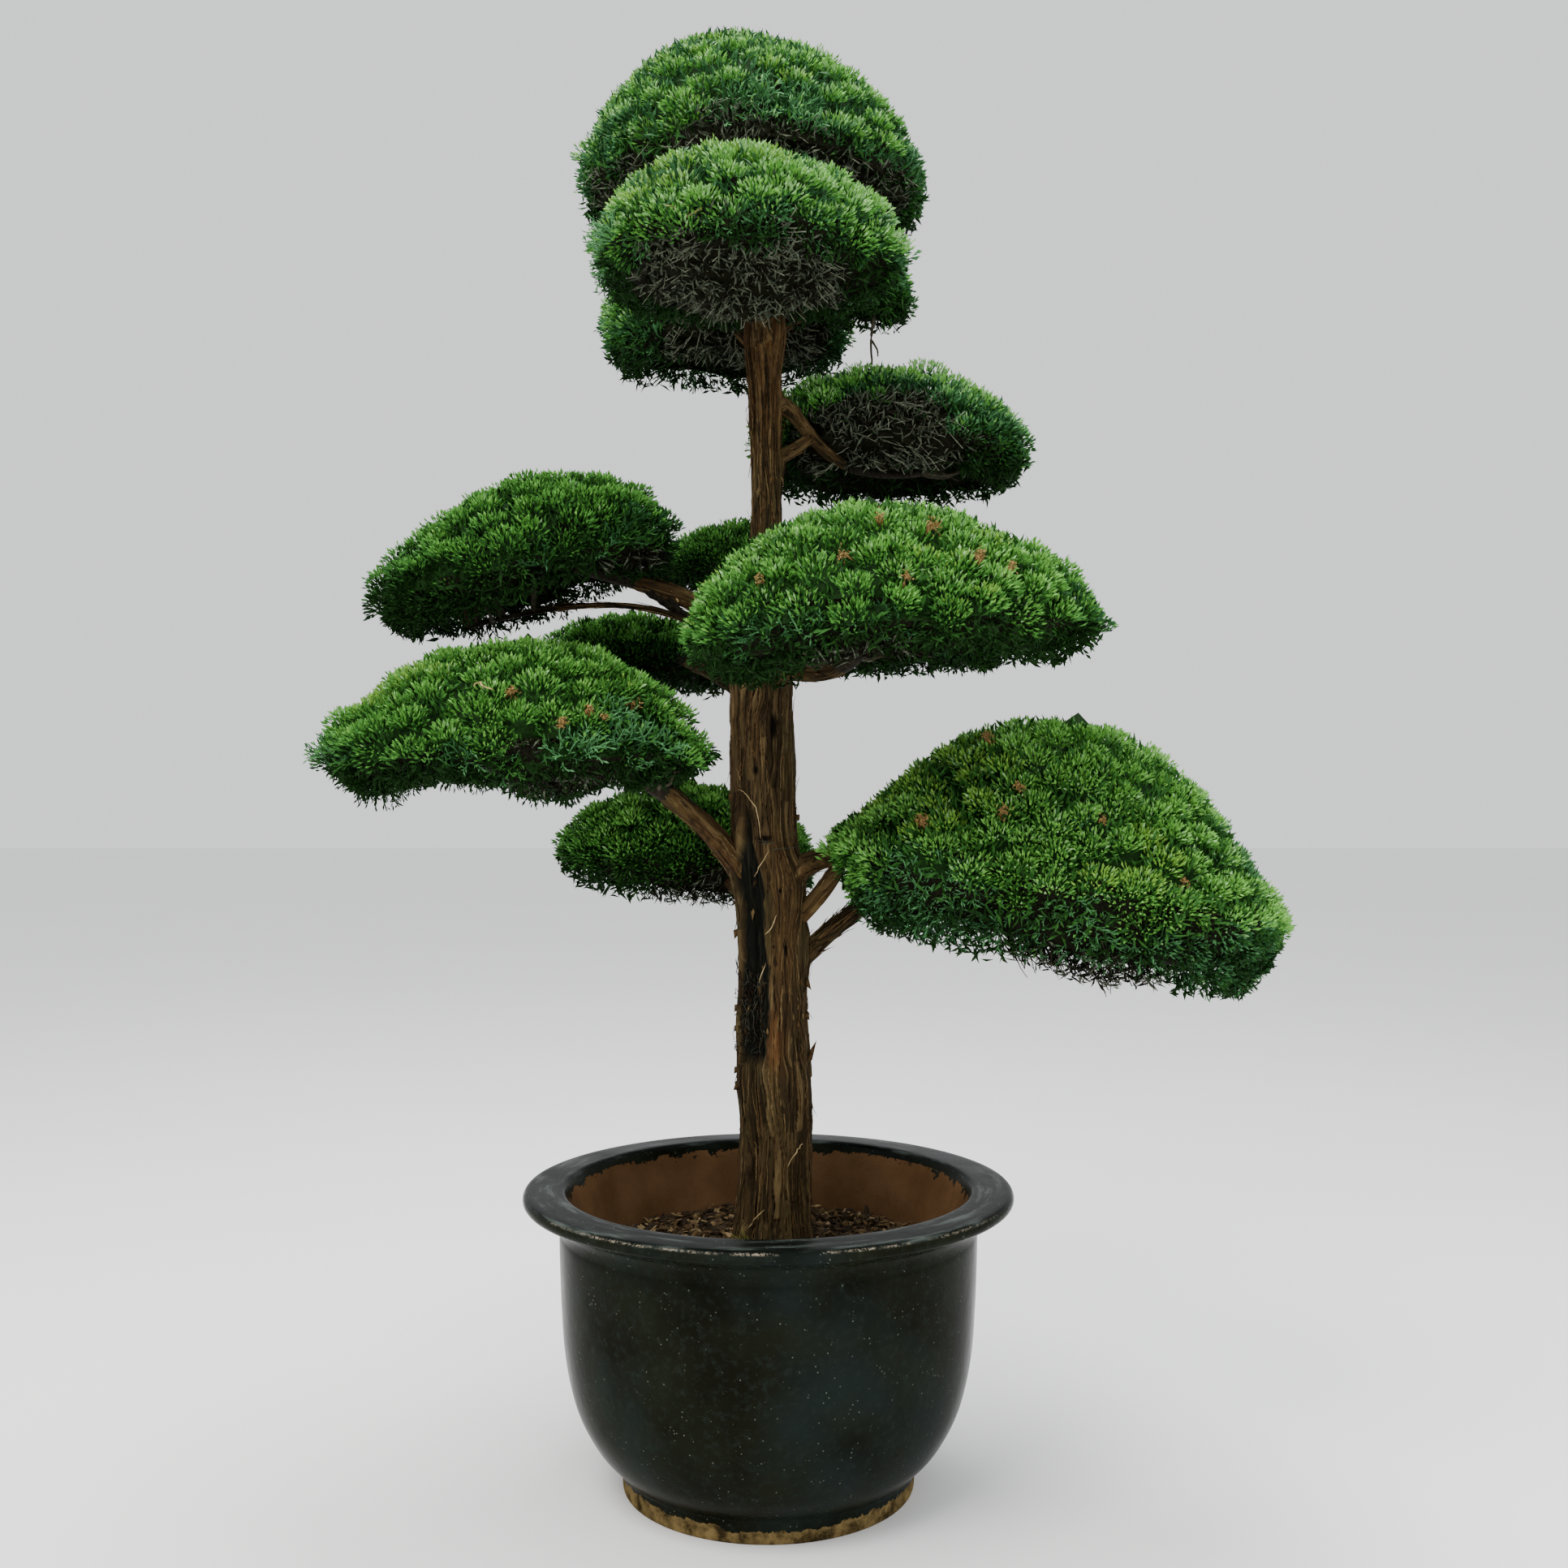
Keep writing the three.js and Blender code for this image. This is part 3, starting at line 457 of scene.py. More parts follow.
def glaze_finish():
    """Blue-black glaze with fine specks and painted reflections on the rim, worn to the clay on edges, over
    unglazed clay.
    """
    f = Finish("glazed_pot", 0.24, 0.025)
    f.shader.inputs["IOR"].default_value = 1.35
    place = f.place()
    cloudy = f.noise(place, 7.0, 4.0)
    body = f.mix(f.between(cloudy, 0.35, 0.68), rgb(16, 17, 10), rgb(26, 29, 20))
    blue = f.noise(place, 3.2, 3.0)
    body = f.mix(f.between(blue, 0.5, 0.75, 0.0, 0.8), body, rgb(24, 34, 36))
    mottle = f.noise(place, 75.0, 4.0, 0.7)
    body = f.mix(f.between(mottle, 0.5, 0.72, 0.0, 0.7), body, rgb(30, 37, 32))
    # The rim's top is painted with reflections: dark bands and pale streaks of painted highlight.
    rim_reflection = f.noise(f.place((1, 1, 1), "ring"), 1.0, 4.0, 0.6)
    top = f.mix(f.between(rim_reflection, 0.36, 0.60), rgb(5, 7, 5), rgb(24, 29, 26))
    top = f.mix(f.between(rim_reflection, 0.54, 0.72), top, rgb(72, 79, 75))
    body = f.mix(f.stored("rim"), body, top)
    specks = f.node("ShaderNodeTexVoronoi", Vector=place, Scale=120.0)
    speck = f.between(specks.outputs["Distance"], 0.20, 0.06)
    chosen = f.between(f.noise(place, 40.0, 2.0), 0.52, 0.62)
    body = f.mix(f.combine("MULTIPLY", speck, chosen), body, rgb(92, 98, 86))
    clay_grain = f.noise(place, 240.0, 3.0)
    clay_patch = f.noise(place, 9.0, 3.0)
    clay = f.mix(f.between(clay_patch, 0.35, 0.68), rgb(80, 58, 37), rgb(98, 73, 49))
    clay = f.mix(f.between(clay_grain, 0.55, 0.75, 0.0, 0.4), clay, rgb(60, 42, 24))
    dirt = f.noise(place, 30.0, 5.0, 0.7)
    tan = f.mix(f.between(dirt, 0.36, 0.6), rgb(46, 38, 22), rgb(116, 98, 62))
    clay = f.mix(f.stored("foot"), clay, tan)
    coarse = f.noise(place, 20.0, 4.0, 0.7)
    ragged = f.combine("ADD", coarse, f.combine("MULTIPLY", f.noise(place, 90.0, 2.0), 0.35))
    border = f.combine("ADD", f.stored("glazed"), f.between(ragged, 0.3, 1.0, -0.5, 0.5))
    glazed = f.between(border, -0.02, 0.02)
    small_chips = f.between(f.noise(place, 160.0, 5.0, 0.8), 0.48, 0.56)
    runs = f.between(f.noise(place, 14.0, 3.0), 0.38, 0.52)
    chips = f.combine("MULTIPLY", small_chips, runs)
    worn = f.combine("MULTIPLY", f.stored("edge"), chips)
    shown = f.mix(worn, body, rgb(150, 140, 122))
    f.colour(f.mix(glazed, clay, shown))
    polish = f.between(cloudy, 0.3, 0.7, 0.16, 0.3)
    gloss = f.combine("ADD", polish, f.combine("MULTIPLY", worn, 0.4))
    f.rough(f.between(glazed, 0.0, 1.0, 0.9, gloss))
    coat = f.combine("MULTIPLY", glazed, 0.6)
    relief = f.combine("ADD", coat, f.combine("MULTIPLY", f.noise(place, 28.0, 3.0), 0.4))
    f.bump(relief, 0.0016, 0.8)
    return f.material


def soil_finish(name, light, dark):
    """Crumbly mix or bark, mottled between two colours."""
    f = Finish(name, 0.95, 0.2)
    grain = f.noise(f.place(), 90.0, 5.0, 0.65)
    f.colour(f.mix(f.between(grain, 0.38, 0.64), rgb(*dark), rgb(*light)))
    f.bump(grain, 0.004, 0.9)
    return f.material


# The first five are one green in steps from painted shade to painted light, also varied at random; the dark
# inner finish is painted shade inside and under a mass.
LEAVES = [
    leaf_finish("leaf_shade", (24, 51, 17), (13, 35, 9), 0.05),
    leaf_finish("leaf_deep", (45, 91, 34), (32, 73, 24), 0.10),
    leaf_finish("leaf_green", (66, 122, 46), (50, 102, 35)),
    leaf_finish("shoot_green", (88, 147, 60), (70, 128, 47)),
    leaf_finish("shoot_light", (114, 171, 76), (92, 150, 60)),
    leaf_finish("shoot_pale", (140, 183, 118), (112, 159, 93)),
    leaf_finish("shoot_yellow", (122, 168, 68), (97, 144, 51)),
    leaf_finish("shoot_blue", (76, 126, 78), (56, 104, 58)),
    leaf_finish("leaf_blue", (44, 87, 48), (31, 69, 34), 0.10),
    leaf_finish("leaf_dead", (152, 122, 72), (106, 82, 48)),
    leaf_finish("inner_painted_shade", (28, 28, 18), (13, 14, 8), 0.03),
    leaf_finish("inner_dry", (92, 99, 82), (54, 60, 48), 0.03),
]
SHADE, DEEP, LEAF, GREEN, LIGHT, PALE, YELLOW, BLUE, DUSK, DEAD, INNER, DRY = range(len(LEAVES))
BARK = bark_finish()
TWIGS = [
    twig_finish("twig_grey", (128, 133, 114), (88, 92, 76)),
    twig_finish("twig_brown", (64, 60, 46), (38, 36, 26)),
    twig_finish("twig_dark", (40, 36, 27), (20, 17, 12)),
    twig_finish("twig_straw", (168, 146, 100), (124, 104, 66)),
]
FIBRES = [
    twig_finish("fibre_tan", (108, 90, 58), (74, 58, 34)),
    twig_finish("fibre_brown", (84, 64, 38), (50, 36, 19)),
    twig_finish("fibre_dark", (44, 33, 18), (22, 16, 8)),
    twig_finish("fibre_pale", (172, 152, 112), (132, 112, 78)),
    twig_finish("fibre_grey", (66, 66, 54), (34, 36, 28)),
    twig_finish("fibre_moss", (128, 132, 62), (86, 92, 36)),
]
TAN, BROWN, DARK, STRAW, GREY, MOSS = range(len(FIBRES))


# Mesh making

def settle(name, mesh, materials, node):
    """Put a finished mesh into the scene as a piece, in place of a node of the source if one is named."""
    piece = bpy.data.objects.new(name, mesh)
    bpy.context.scene.collection.objects.link(piece)
    for material in materials:
        mesh.materials.append(material)
    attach(piece, "root")
    if node:
        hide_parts(node)


def mesh_of(name, points, faces, material=None, smooth=False):
    """A mesh of triangles from an array of points and an array of corner numbers."""
    mesh = bpy.data.meshes.new(name)
    mesh.vertices.add(len(points))
    mesh.vertices.foreach_set("co", points.astype(np.float32).ravel())
    mesh.loops.add(faces.size)
    mesh.loops.foreach_set("vertex_index", faces.astype(np.int32).ravel())
    mesh.polygons.add(len(faces))
    mesh.polygons.foreach_set("loop_start", np.arange(0, faces.size, 3, dtype=np.int32))
    mesh.polygons.foreach_set("loop_total", np.full(len(faces), 3, np.int32))
    if material is not None:
        mesh.polygons.foreach_set("material_index", material.astype(np.int32))
    mesh.polygons.foreach_set("use_smooth", np.full(len(faces), smooth, bool))
    mesh.update(calc_edges=True)
    mesh.validate()
    return mesh


def corners(mesh):
    """The places of a mesh's points."""
    flat = np.zeros(len(mesh.vertices) * 3, np.float32)
    mesh.vertices.foreach_get("co", flat)
    return flat.reshape(-1, 3)


def store(mesh, key, values):
    """Keep a number or a place for each point of a mesh, for its finish to read."""
    kind, part = ("FLOAT_VECTOR", "vector") if np.ndim(values) == 2 else ("FLOAT", "value")
    mesh.attributes.new(key, kind, "POINT").data.foreach_set(part, values.astype(np.float32).ravel())


def across(direction, facing):
    """Two directions square to the first, the second of them nearest to facing."""
    flat = unit(facing - direction * np.sum(facing * direction, -1, keepdims=True))
    return np.cross(flat, direction), flat


def spindles(root, tip, half_width, half_thick, facing, sides=3, belt=0.42):
    """Closed pointed bodies from root to tip, thickest at the belt."""
    direction = unit(tip - root)
    side, flat = across(direction, facing)
    middle = root + (tip - root) * belt
    turn = np.arange(sides) * 2 * np.pi / sides
    ring = (middle[:, None] + side[:, None] * (np.cos(turn)[None, :, None] * half_width[:, None, None])
            + flat[:, None] * (np.sin(turn)[None, :, None] * half_thick[:, None, None]))
    points = np.concatenate([root[:, None], ring, tip[:, None]], 1)
    k = np.arange(sides)
    after = (k + 1) % sides
    inner = np.stack([np.zeros(sides, int), after + 1, k + 1], 1)
    outer = np.stack([k + 1, after + 1, np.full(sides, sides + 1)], 1)
    faces = np.concatenate([inner, outer])[None] + (np.arange(len(root)) * (sides + 2))[:, None, None]
    return points.reshape(-1, 3), faces.reshape(-1, 3)


def spikes(root, tip, half_width, facing, belt=0.60):
    """Closed three-edged spikes of four faces from root to tip, widest at the belt."""
    side, flat = across(unit(tip - root), facing)
    middle = root + (tip - root) * belt + flat * half_width[:, None]
    wide = side * half_width[:, None]
    points = np.stack([root, middle + wide, middle - wide, tip], 1)
    shape = np.array([(0, 2, 1), (3, 1, 2), (0, 1, 3), (0, 3, 2)])
    faces = shape[None] + (np.arange(len(root)) * 4)[:, None, None]
    return points.reshape(-1, 3), faces.reshape(-1, 3)


def rods(lines, half_width, facing, sides=3, flatness=1.0):
    """Closed rods along many lines at once. Their thickness is the width times the flatness."""
    count, steps = lines.shape[:2]
    along = unit(np.gradient(lines, axis=1))
    side, flat = across(along, np.broadcast_to(facing[:, None], lines.shape))
    turn = np.arange(sides) * 2 * np.pi / sides
    wide = half_width[:, :, None, None]
    ring = (lines[:, :, None] + side[:, :, None] * np.cos(turn)[None, None, :, None] * wide
            + flat[:, :, None] * np.sin(turn)[None, None, :, None] * wide * flatness)
    k = np.arange(sides)
    after = (k + 1) % sides
    upper, lower = np.stack([k, after + sides, k + sides], 1), np.stack([k, after, after + sides], 1)
    wall = np.concatenate([upper, lower])
    walls = (wall[None] + (np.arange(steps - 1) * sides)[:, None, None]).reshape(-1, 3)
    fan = np.stack([np.zeros(sides - 2, int), np.arange(2, sides), np.arange(1, sides - 1)], 1)
    last = fan[:, ::-1] + (steps - 1) * sides
    faces = np.concatenate([walls, fan, last])[None] + (np.arange(count) * steps * sides)[:, None, None]
    return ring.reshape(-1, 3), faces.reshape(-1, 3)


def shaded(shape, shade):
    """A run of like bodies, each with its own material number on all its faces."""
    points, faces = shape
    return points, faces, np.repeat(shade, len(faces) // len(shade))


def joined(parts):
    """Several (points, faces, material numbers) as one."""
    points, faces, materials, first = [], [], [], 0
    for p, f, m in parts:
        points.append(p)
        faces.append(f + first)
        materials.append(np.broadcast_to(m, len(f)) if np.ndim(m) == 0 else m)
        first += len(p)
    return np.concatenate(points), np.concatenate(faces), np.concatenate(materials)


# Limbs

def limb_point(curve, t):
    """The place at each share of a limb's curve, from 0 to 1."""
    a, b, c, d = (np.array(p, float) for p in curve)
    t = np.asarray(t, float)[..., None]
    s = 1 - t
    return a * s**3 + 3 * b * s**2 * t + 3 * c * s * t**2 + d * t**3


def limb_radius(radii, t):
    """A limb's radius at each share of its length, swollen where it leaves the trunk."""
    collar = 0.50 * np.maximum(0, 1 - t / 0.42) ** 2
    return radii[0] * (1 + collar) + (radii[1] - radii[0]) * t


def trunk_at(z):
    """The trunk's sideways lean and its radius at a height, eased between the stations."""
    heights = np.linspace(TRUNK[0, 0], TRUNK[-1, 0], 400)
    ease = np.hanning(15) / np.hanning(15).sum()
    found = []
    for column in (1, 2):
        values = np.interp(heights, TRUNK[:, 0], TRUNK[:, column])
        eased = np.convolve(np.pad(values, 7, mode="edge"), ease, mode="valid")
        found.append(np.interp(z, heights, np.where(heights < 0.5, values, eased)))
    return found


def bark_sway(turn, along, cells, seed):
    """How far the strips of the bark wander sideways, counted in strips."""
    return (2.2 * ripple(seed, turn * 5, along * 3.4, 5) + 1.7 * ripple(seed + 1, turn * 9, along * 10, 9)
            + 0.75 * ripple(seed + 6, turn * cells, along * 25, cells))


def strips_round(girth):
    """How many strips of bark lie side by side round a limb."""
    return max(8, int(round(girth / 0.011)))


def stringy(around, along, girth, seed):
    """Stringy bark, for angles round a limb and metres along it: its relief, the crevices between its
    strips, how pale each strip is, all from 0 to 1, and the angle by which the strips wander."""
    cells = strips_round(girth)
    turn = around / (2 * np.pi)
    sway = bark_sway(turn, along, cells, seed)
    place = turn * cells + sway
    strip = np.floor(place).astype(np.int64)
    row = np.floor(along * 8 + 7 * lattice(seed + 5, strip, 0 * strip, cells)).astype(np.int64)
    layer = lattice(seed + 2, strip, row, cells)
    crown = 1 - np.abs(2 * (place - strip) - 1) ** 5
    thin = ripple(seed + 3, place * 3, along * 26, cells * 3)
    broad = ripple(seed + 4, turn * (cells // 2) + sway * 0.5, along * 6, cells // 2)
    relief = 0.34 * layer + 0.20 * crown + 0.22 * thin + 0.24 * broad
    crevice = np.clip(1.5 - 2.6 * crown, 0, 1) * np.clip(1.4 - layer, 0, 1)
    return relief, crevice, layer, sway * 2 * np.pi / cells


def bark_tube(name, skin, columns, rows):
    """A grid rolled round a limb, with its seam merged and its ends closed."""
    mesh = bpy.data.meshes.new(name)
    bm = bmesh.new()
    bmesh.ops.create_grid(bm, x_segments=columns, y_segments=rows, size=1)
    bm.to_mesh(mesh)
    bm.free()
    flat = corners(mesh).astype(float)
    points, straight, looks = skin((flat[:, 0] + 1) * np.pi, (flat[:, 1] + 1) / 2)
    mesh.vertices.foreach_set("co", points.astype(np.float32).ravel())
    store(mesh, "straight", straight)
    for key, values in looks.items():
        store(mesh, key, values)
    bm = bmesh.new()
    bm.from_mesh(mesh)
    bmesh.ops.remove_doubles(bm, verts=bm.verts, dist=1e-6)
    bmesh.ops.holes_fill(bm, edges=[e for e in bm.edges if e.is_boundary], sides=0)
    bmesh.ops.recalc_face_normals(bm, faces=bm.faces)
    for face in bm.faces:
        face.smooth = True
    bm.to_mesh(mesh)
    bm.free()
    return mesh


def apart(around, bearing):
    """The angle between two bearings, from -pi to pi."""
    return np.arctan2(np.sin(around - bearing), np.cos(around - bearing))


def trunk_surface(around, z):
    """The trunk's lean and its radius with all its relief at a bearing and a height, and the looks."""
    lean, radius = trunk_at(z)
    share = np.ones_like(around)
    slit = np.zeros_like(around)
    for furrow in FURROWS:
        away = apart(around, furrow + 0.10 * np.sin(9 * z) + 0.05 * np.sin(31 * z))
        share -= FURROW_DEPTH * np.exp(-((away / FURROW_WIDTH) ** 2))
        slit = np.maximum(slit, np.exp(-((away / 0.13) ** 2)) * (0.3 + 0.7 * ripple(5, around * 0, z * 14)))
    relief, crevice, layer, wander = stringy(around, z, 0.40, 11)
    bearing, height, wide, tall = SMOOTH
    smooth = np.exp(-((apart(around, bearing) / wide) ** 4) - ((z - height) / tall) ** 4)
    relief = relief + (0.60 - relief) * 0.75 * smooth
    crevice = crevice * (1 - 0.85 * smooth)
    layer = layer + (0.5 - layer) * smooth
    stout = np.clip(radius / 0.06, 0.4, 1)
    reach = radius * share + stout * (0.0125 * (relief - 0.52) - 0.0035 * crevice - 0.007 * slit)
    for bearing, height, size in COLLARS:
        away = apart(around, bearing) * radius / size
        below = np.where(z < height, (height - z) / 2.2, z - height) / size
        reach += 0.40 * size * np.exp(-(away**2) - below**2)
    pits = np.zeros_like(around)
    for bearing, height, wide, tall in PITS:
        away = (apart(around, bearing) * radius / wide) ** 2 + ((z - height) / tall) ** 2
        pits = np.maximum(pits, np.exp(-(away**2)))
    stretch = np.clip((z - CHANNEL_FOOT) / 0.02, 0, 1) * np.clip((CHANNEL_TOP - z) / 0.03, 0, 1)
    half = np.interp(z, [0.77, 0.84, 1.10, 1.17, 1.25], [0.36, 0.48, 0.50, 0.22, 0.12])
    ragged = half * (0.75 + 0.35 * ripple(9, around * 0, z * 15) + 0.25 * ripple(8, around * 5, z * 60))
    channel = stretch * np.clip((ragged - np.abs(apart(around, FURROWS[0]))) / 0.09 + 0.5, 0, 1)
    reach -= 0.005 * pits + CHANNEL_DEPTH * channel
    bearing, height, wide, tall = WARM
    warm = np.exp(-((apart(around, bearing) / wide) ** 2) - ((z - height) / tall) ** 2)
    warm = np.clip(warm + 0.35 * smooth + np.clip((z - 1.85) / 0.2, 0, 0.45), 0, 0.8)
    # The depth look is painted shade in the crevices, along the furrows' slits and in the pits.
    looks = {"depth": np.clip(0.75 * crevice + 0.7 * slit + pits, 0, 1), "scorch": channel,
             "strip": layer, "warm": warm}
    return lean, reach, around + wander, looks


def trunk_skin(around, along):
    """The skin of the trunk, from its cut at the soil to its tip."""
    z = TRUNK[0, 0] + (TRUNK[-1, 0] - TRUNK[0, 0]) * np.interp(along, [0, 0.75, 1], [0, 0.56, 1])
    lean, reach, follow, looks = trunk_surface(around, z)
    _, radius = trunk_at(z)
    points = np.stack([lean + reach * np.cos(around), reach * np.sin(around), z], 1)
    straight = np.stack([radius * np.cos(follow), radius * np.sin(follow), z], 1)
    return points, straight, looks


def limb_skin(curve, radii, end, seed, dark):
    """The skin of a bough from the trunk's axis to where it enters its mass."""
    a, b = limb_point(curve, np.array([0.0])), limb_point(curve, np.array([1.0]))
    length = float(np.linalg.norm(np.diff(limb_point(curve, np.linspace(0, 1, 30)), axis=0), axis=1).sum())
    facing = np.cross(unit(b - a), UP)

    def skin(around, along):
        t = along * end
        centre = limb_point(curve, t)
        forward = unit(limb_point(curve, t + 0.01) - limb_point(curve, t - 0.01))
        side, flat = across(forward, np.broadcast_to(facing, centre.shape))
        radius = limb_radius(radii, t)
        relief, crevice, layer, wander = stringy(around, t * length, 2 * np.pi * radii[0], seed)
        bumps = 1 + 0.12 * (ripple(seed + 7, around / np.pi, t * length * 16, 2) - 0.5)
        reach = radius * bumps + radii[0] * (0.24 * (relief - 0.52) - 0.08 * crevice)
        reach *= np.clip((1.0 - along) / 0.10, 0, 1) ** 0.5
        reach = np.where((along > 0.999) | (along < 0.001), 0.0, reach)
        points = centre + side * (reach * np.cos(around))[:, None]
        points = points + flat * (reach * np.sin(around))[:, None]
        follow = around + wander
        straight = np.stack([radius * np.cos(follow), radius * np.sin(follow), t * length + seed], 1)
        warm = 0.45 * ripple(seed + 8, around / np.pi, t * length * 7, 2) * (1 - dark)
        # The depth look is painted shade: in the crevices, and over a whole bough that lies in shade.
        depth = np.maximum(0.8 * crevice, dark * (0.6 + 0.4 * (1 - layer)))
        return points, straight, {"depth": depth, "scorch": 0 * around, "strip": layer, "warm": warm}

    return skin, length * end


def make_limbs():
    """The trunk and the boughs, each a tube with the relief of its bark."""
    settle("trunk_bark", bark_tube("trunk_bark", trunk_skin, 228, 430), [BARK], "trunk")
    for number, (name, _, enters, radii, curve) in enumerate(LIMBS):
        if enters == 0:
            continue
        dark = PAINTED_SHADE_LIMBS.get(name, 0.0)
        skin, length = limb_skin(curve, radii, min(enters + 0.14, 1), 20 + 9 * number, dark)
        columns = int(np.clip(2 * np.pi * radii[0] / 0.004, 16, 44))
        piece = bark_tube(f"{name}_bark", skin, columns, max(30, int(length / 0.006)))
        settle(f"{name}_bark", piece, [BARK], name)


def on_trunk(x, z, lift):
    """The places on the trunk's front that show at those sideways and upright places."""
    lean, radius = trunk_at(z)
    bearing = -np.arccos(np.clip((x - lean) / radius, -0.98, 0.98))
    lean, reach, _, _ = trunk_surface(bearing, z)
    reach = reach + lift
    return np.stack([lean + reach * np.cos(bearing), reach * np.sin(bearing), z], -1)


def trunk_strands(rng):
    """Loose fibres that follow the strips of the bark, some with an end that has sprung off."""
    steps = 9
    t = np.linspace(0, 1, steps)[None]
    length = rng.uniform(0.030, 0.13, BARK_FIBRES)[:, None]
    bottom = rng.uniform(TRUNK[0, 0], 2.05, BARK_FIBRES)[:, None]
    z = np.minimum(bottom + length * t, 2.12)
    cells = strips_round(0.40)
    place = rng.uniform(0, cells, BARK_FIBRES)[:, None]
    turn = place / cells + 0 * z
    for _ in range(3):
        turn = (place - bark_sway(turn, z, cells, 11)) / cells
    around = turn * 2 * np.pi + rng.normal(0, 0.012, z.shape)
    lean, reach, _, looks = trunk_surface(around.ravel(), z.ravel())
    lean, reach = lean.reshape(z.shape), reach.reshape(z.shape)
    sprung = np.where(rng.uniform(0, 1, BARK_FIBRES) < 0.25, rng.uniform(0.003, 0.011, BARK_FIBRES), 0.0)
    end = np.where(rng.uniform(0, 1, BARK_FIBRES) < 0.5, 1, -1)[:, None]
    lift = 0.0006 + sprung[:, None] * np.clip(np.where(end > 0, t, 1 - t) * 2.2 - 1.2, 0, 1) ** 1.5
    reach = reach + lift
    around = around + 3.5 * (lift - 0.0006) * rng.normal(0, 1, (BARK_FIBRES, 1))
    lines = np.stack([lean + reach * np.cos(around), reach * np.sin(around), z], -1)
    width = rng.uniform(0.0006, 0.0020, BARK_FIBRES)[:, None] * np.sin(np.pi * (0.08 + 0.84 * t)) ** 0.6
    facing = unit(np.stack([np.cos(around[:, 4]), np.sin(around[:, 4]), np.zeros(BARK_FIBRES)], -1))
    shade = rng.choice([TAN, TAN, BROWN, BROWN, BROWN, BROWN, DARK, DARK], BARK_FIBRES)
    clear = looks["scorch"].reshape(z.shape).max(1) < 0.1
    return shaded(rods(lines[clear], width[clear], facing[clear], 4, 0.45), shade[clear])


def channel_tangle(rng, count=75):
    """Grey fibres that curl in the lower part of the black channel."""
    x = rng.uniform(-0.054, -0.014, (count, 1)) + np.cumsum(rng.normal(0, 0.0030, (count, 7)), 1)
    z = rng.uniform(0.775, 0.915, (count, 1)) + np.cumsum(rng.normal(0.004, 0.006, (count, 7)), 1)
    lines = on_trunk(x.ravel(), z.ravel(), rng.uniform(0.001, 0.007, count * 7)).reshape(count, 7, 3)
    width = np.full((count, 7), 0.0009) * rng.uniform(0.6, 1.4, (count, 1))
    tangle = rods(lines, width, unit(rng.normal(0, 1, (count, 3))))
    return shaded(tangle, rng.choice([GREY, GREY, DARK, DARK], count))


def named_strands():
    """The curling fibres on the trunk's front."""
    parts = []
    for number, strand in enumerate(STRANDS):
        run = smooth_line([(x, z, 0.0) for x, z in strand], 5)
        t = np.linspace(0, 1, len(run))
        line = on_trunk(run[:, 0], run[:, 1], 0.002 + 0.007 * np.sin(np.pi * t) ** 2)
        width = 0.0010 * np.sin(np.pi * (0.10 + 0.82 * t)) ** 0.6
        shade = STRAW if number < PALE_STRANDS else GREY
        parts.append((*rods(line[None], width[None], unit(np.array([[0.3, -1.0, 0.2]])), 5), shade))
    return parts


def trunk_flakes(rng):
    """Flakes of bark that stand out of the trunk's sides, as named and all over."""
    parts = []
    for x, z, tip_x, tip_z in FLAKES:
        root = np.array([[x * 0.97, -0.012, z]])
        tip = np.array([[tip_x, -0.014, tip_z]])
        wide, facing = np.array([0.0070]), np.array([[0.2, -1.0, 0.0]])
        parts.append((*spindles(root, tip, wide, wide * 0.35, facing, 4, 0.30), BROWN))
    count = 260
    around = rng.uniform(0, 2 * np.pi, count)
    z = rng.uniform(0.44, 2.0, count)
    size = rng.uniform(0.010, 0.028, count)
    way = rng.choice([-1.0, 1.0], count, p=[0.6, 0.4])
    lean, reach, _, _ = trunk_surface(around, z)
    out = np.stack([np.cos(around), np.sin(around), 0 * z], 1)
    root = np.stack([lean, 0 * z, z], 1) + out * (reach - 0.002)[:, None]
    tip = root + out * (size * rng.uniform(0.06, 0.26, count))[:, None] + UP * (size * way)[:, None]
    tip += np.cross(out, UP) * (size * rng.normal(0, 0.18, count))[:, None]
    wide = size * rng.uniform(0.12, 0.24, count)
    small = spindles(root, tip, wide, wide * 0.25, out, 4, 0.35)
    parts.append(shaded(small, rng.choice([TAN, BROWN, BROWN, DARK], count)))
    return parts


def bough_strands(rng):
    """Fibres, flakes and stubs on the boughs, thickest on the rough lower right one."""
    parts = []
    for name, _, enters, radii, curve in LIMBS:
        if enters == 0:
            continue
        rough = name == "bough_lower_right_lower"
        count = 90 if rough else 34
        steps = 6
        start = rng.uniform(0.1 * enters, enters, (count, 1))
        t = np.clip(start + np.linspace(0, 1, steps)[None] * rng.uniform(0.04, 0.16, (count, 1)), 0, 1)
        centre = limb_point(curve, t)
        forward = unit(limb_point(curve, np.clip(t + 0.01, 0, 1)) - limb_point(curve, t - 0.01))
        around = rng.uniform(0, 2 * np.pi, (count, 1)) + np.cumsum(rng.normal(0, 0.05, (count, steps)), 1)
        side, flat = across(forward, np.broadcast_to(np.array([0.1, 1.0, 0.2]), centre.shape))
        out = side * np.cos(around)[..., None] + flat * np.sin(around)[..., None]
        end = np.linspace(0, 1, steps)[None] ** 3 * rng.uniform(0, 0.009 if rough else 0.004, (count, 1))
        lines = centre + out * (limb_radius(radii, t) + 0.0003 + end)[..., None]
        width = rng.uniform(0.0008, 0.0026 if rough else 0.0017, (count, 1)) * np.ones((1, steps))
        width[:, 0] *= 0.4
        width[:, -1] *= 0.3
        tones = [TAN, BROWN, DARK, DARK] if rough else [TAN, BROWN, BROWN, DARK]
        parts.append(shaded(rods(lines, width, out[:, 2], 4, 0.4), rng.choice(tones, count)))
    return parts


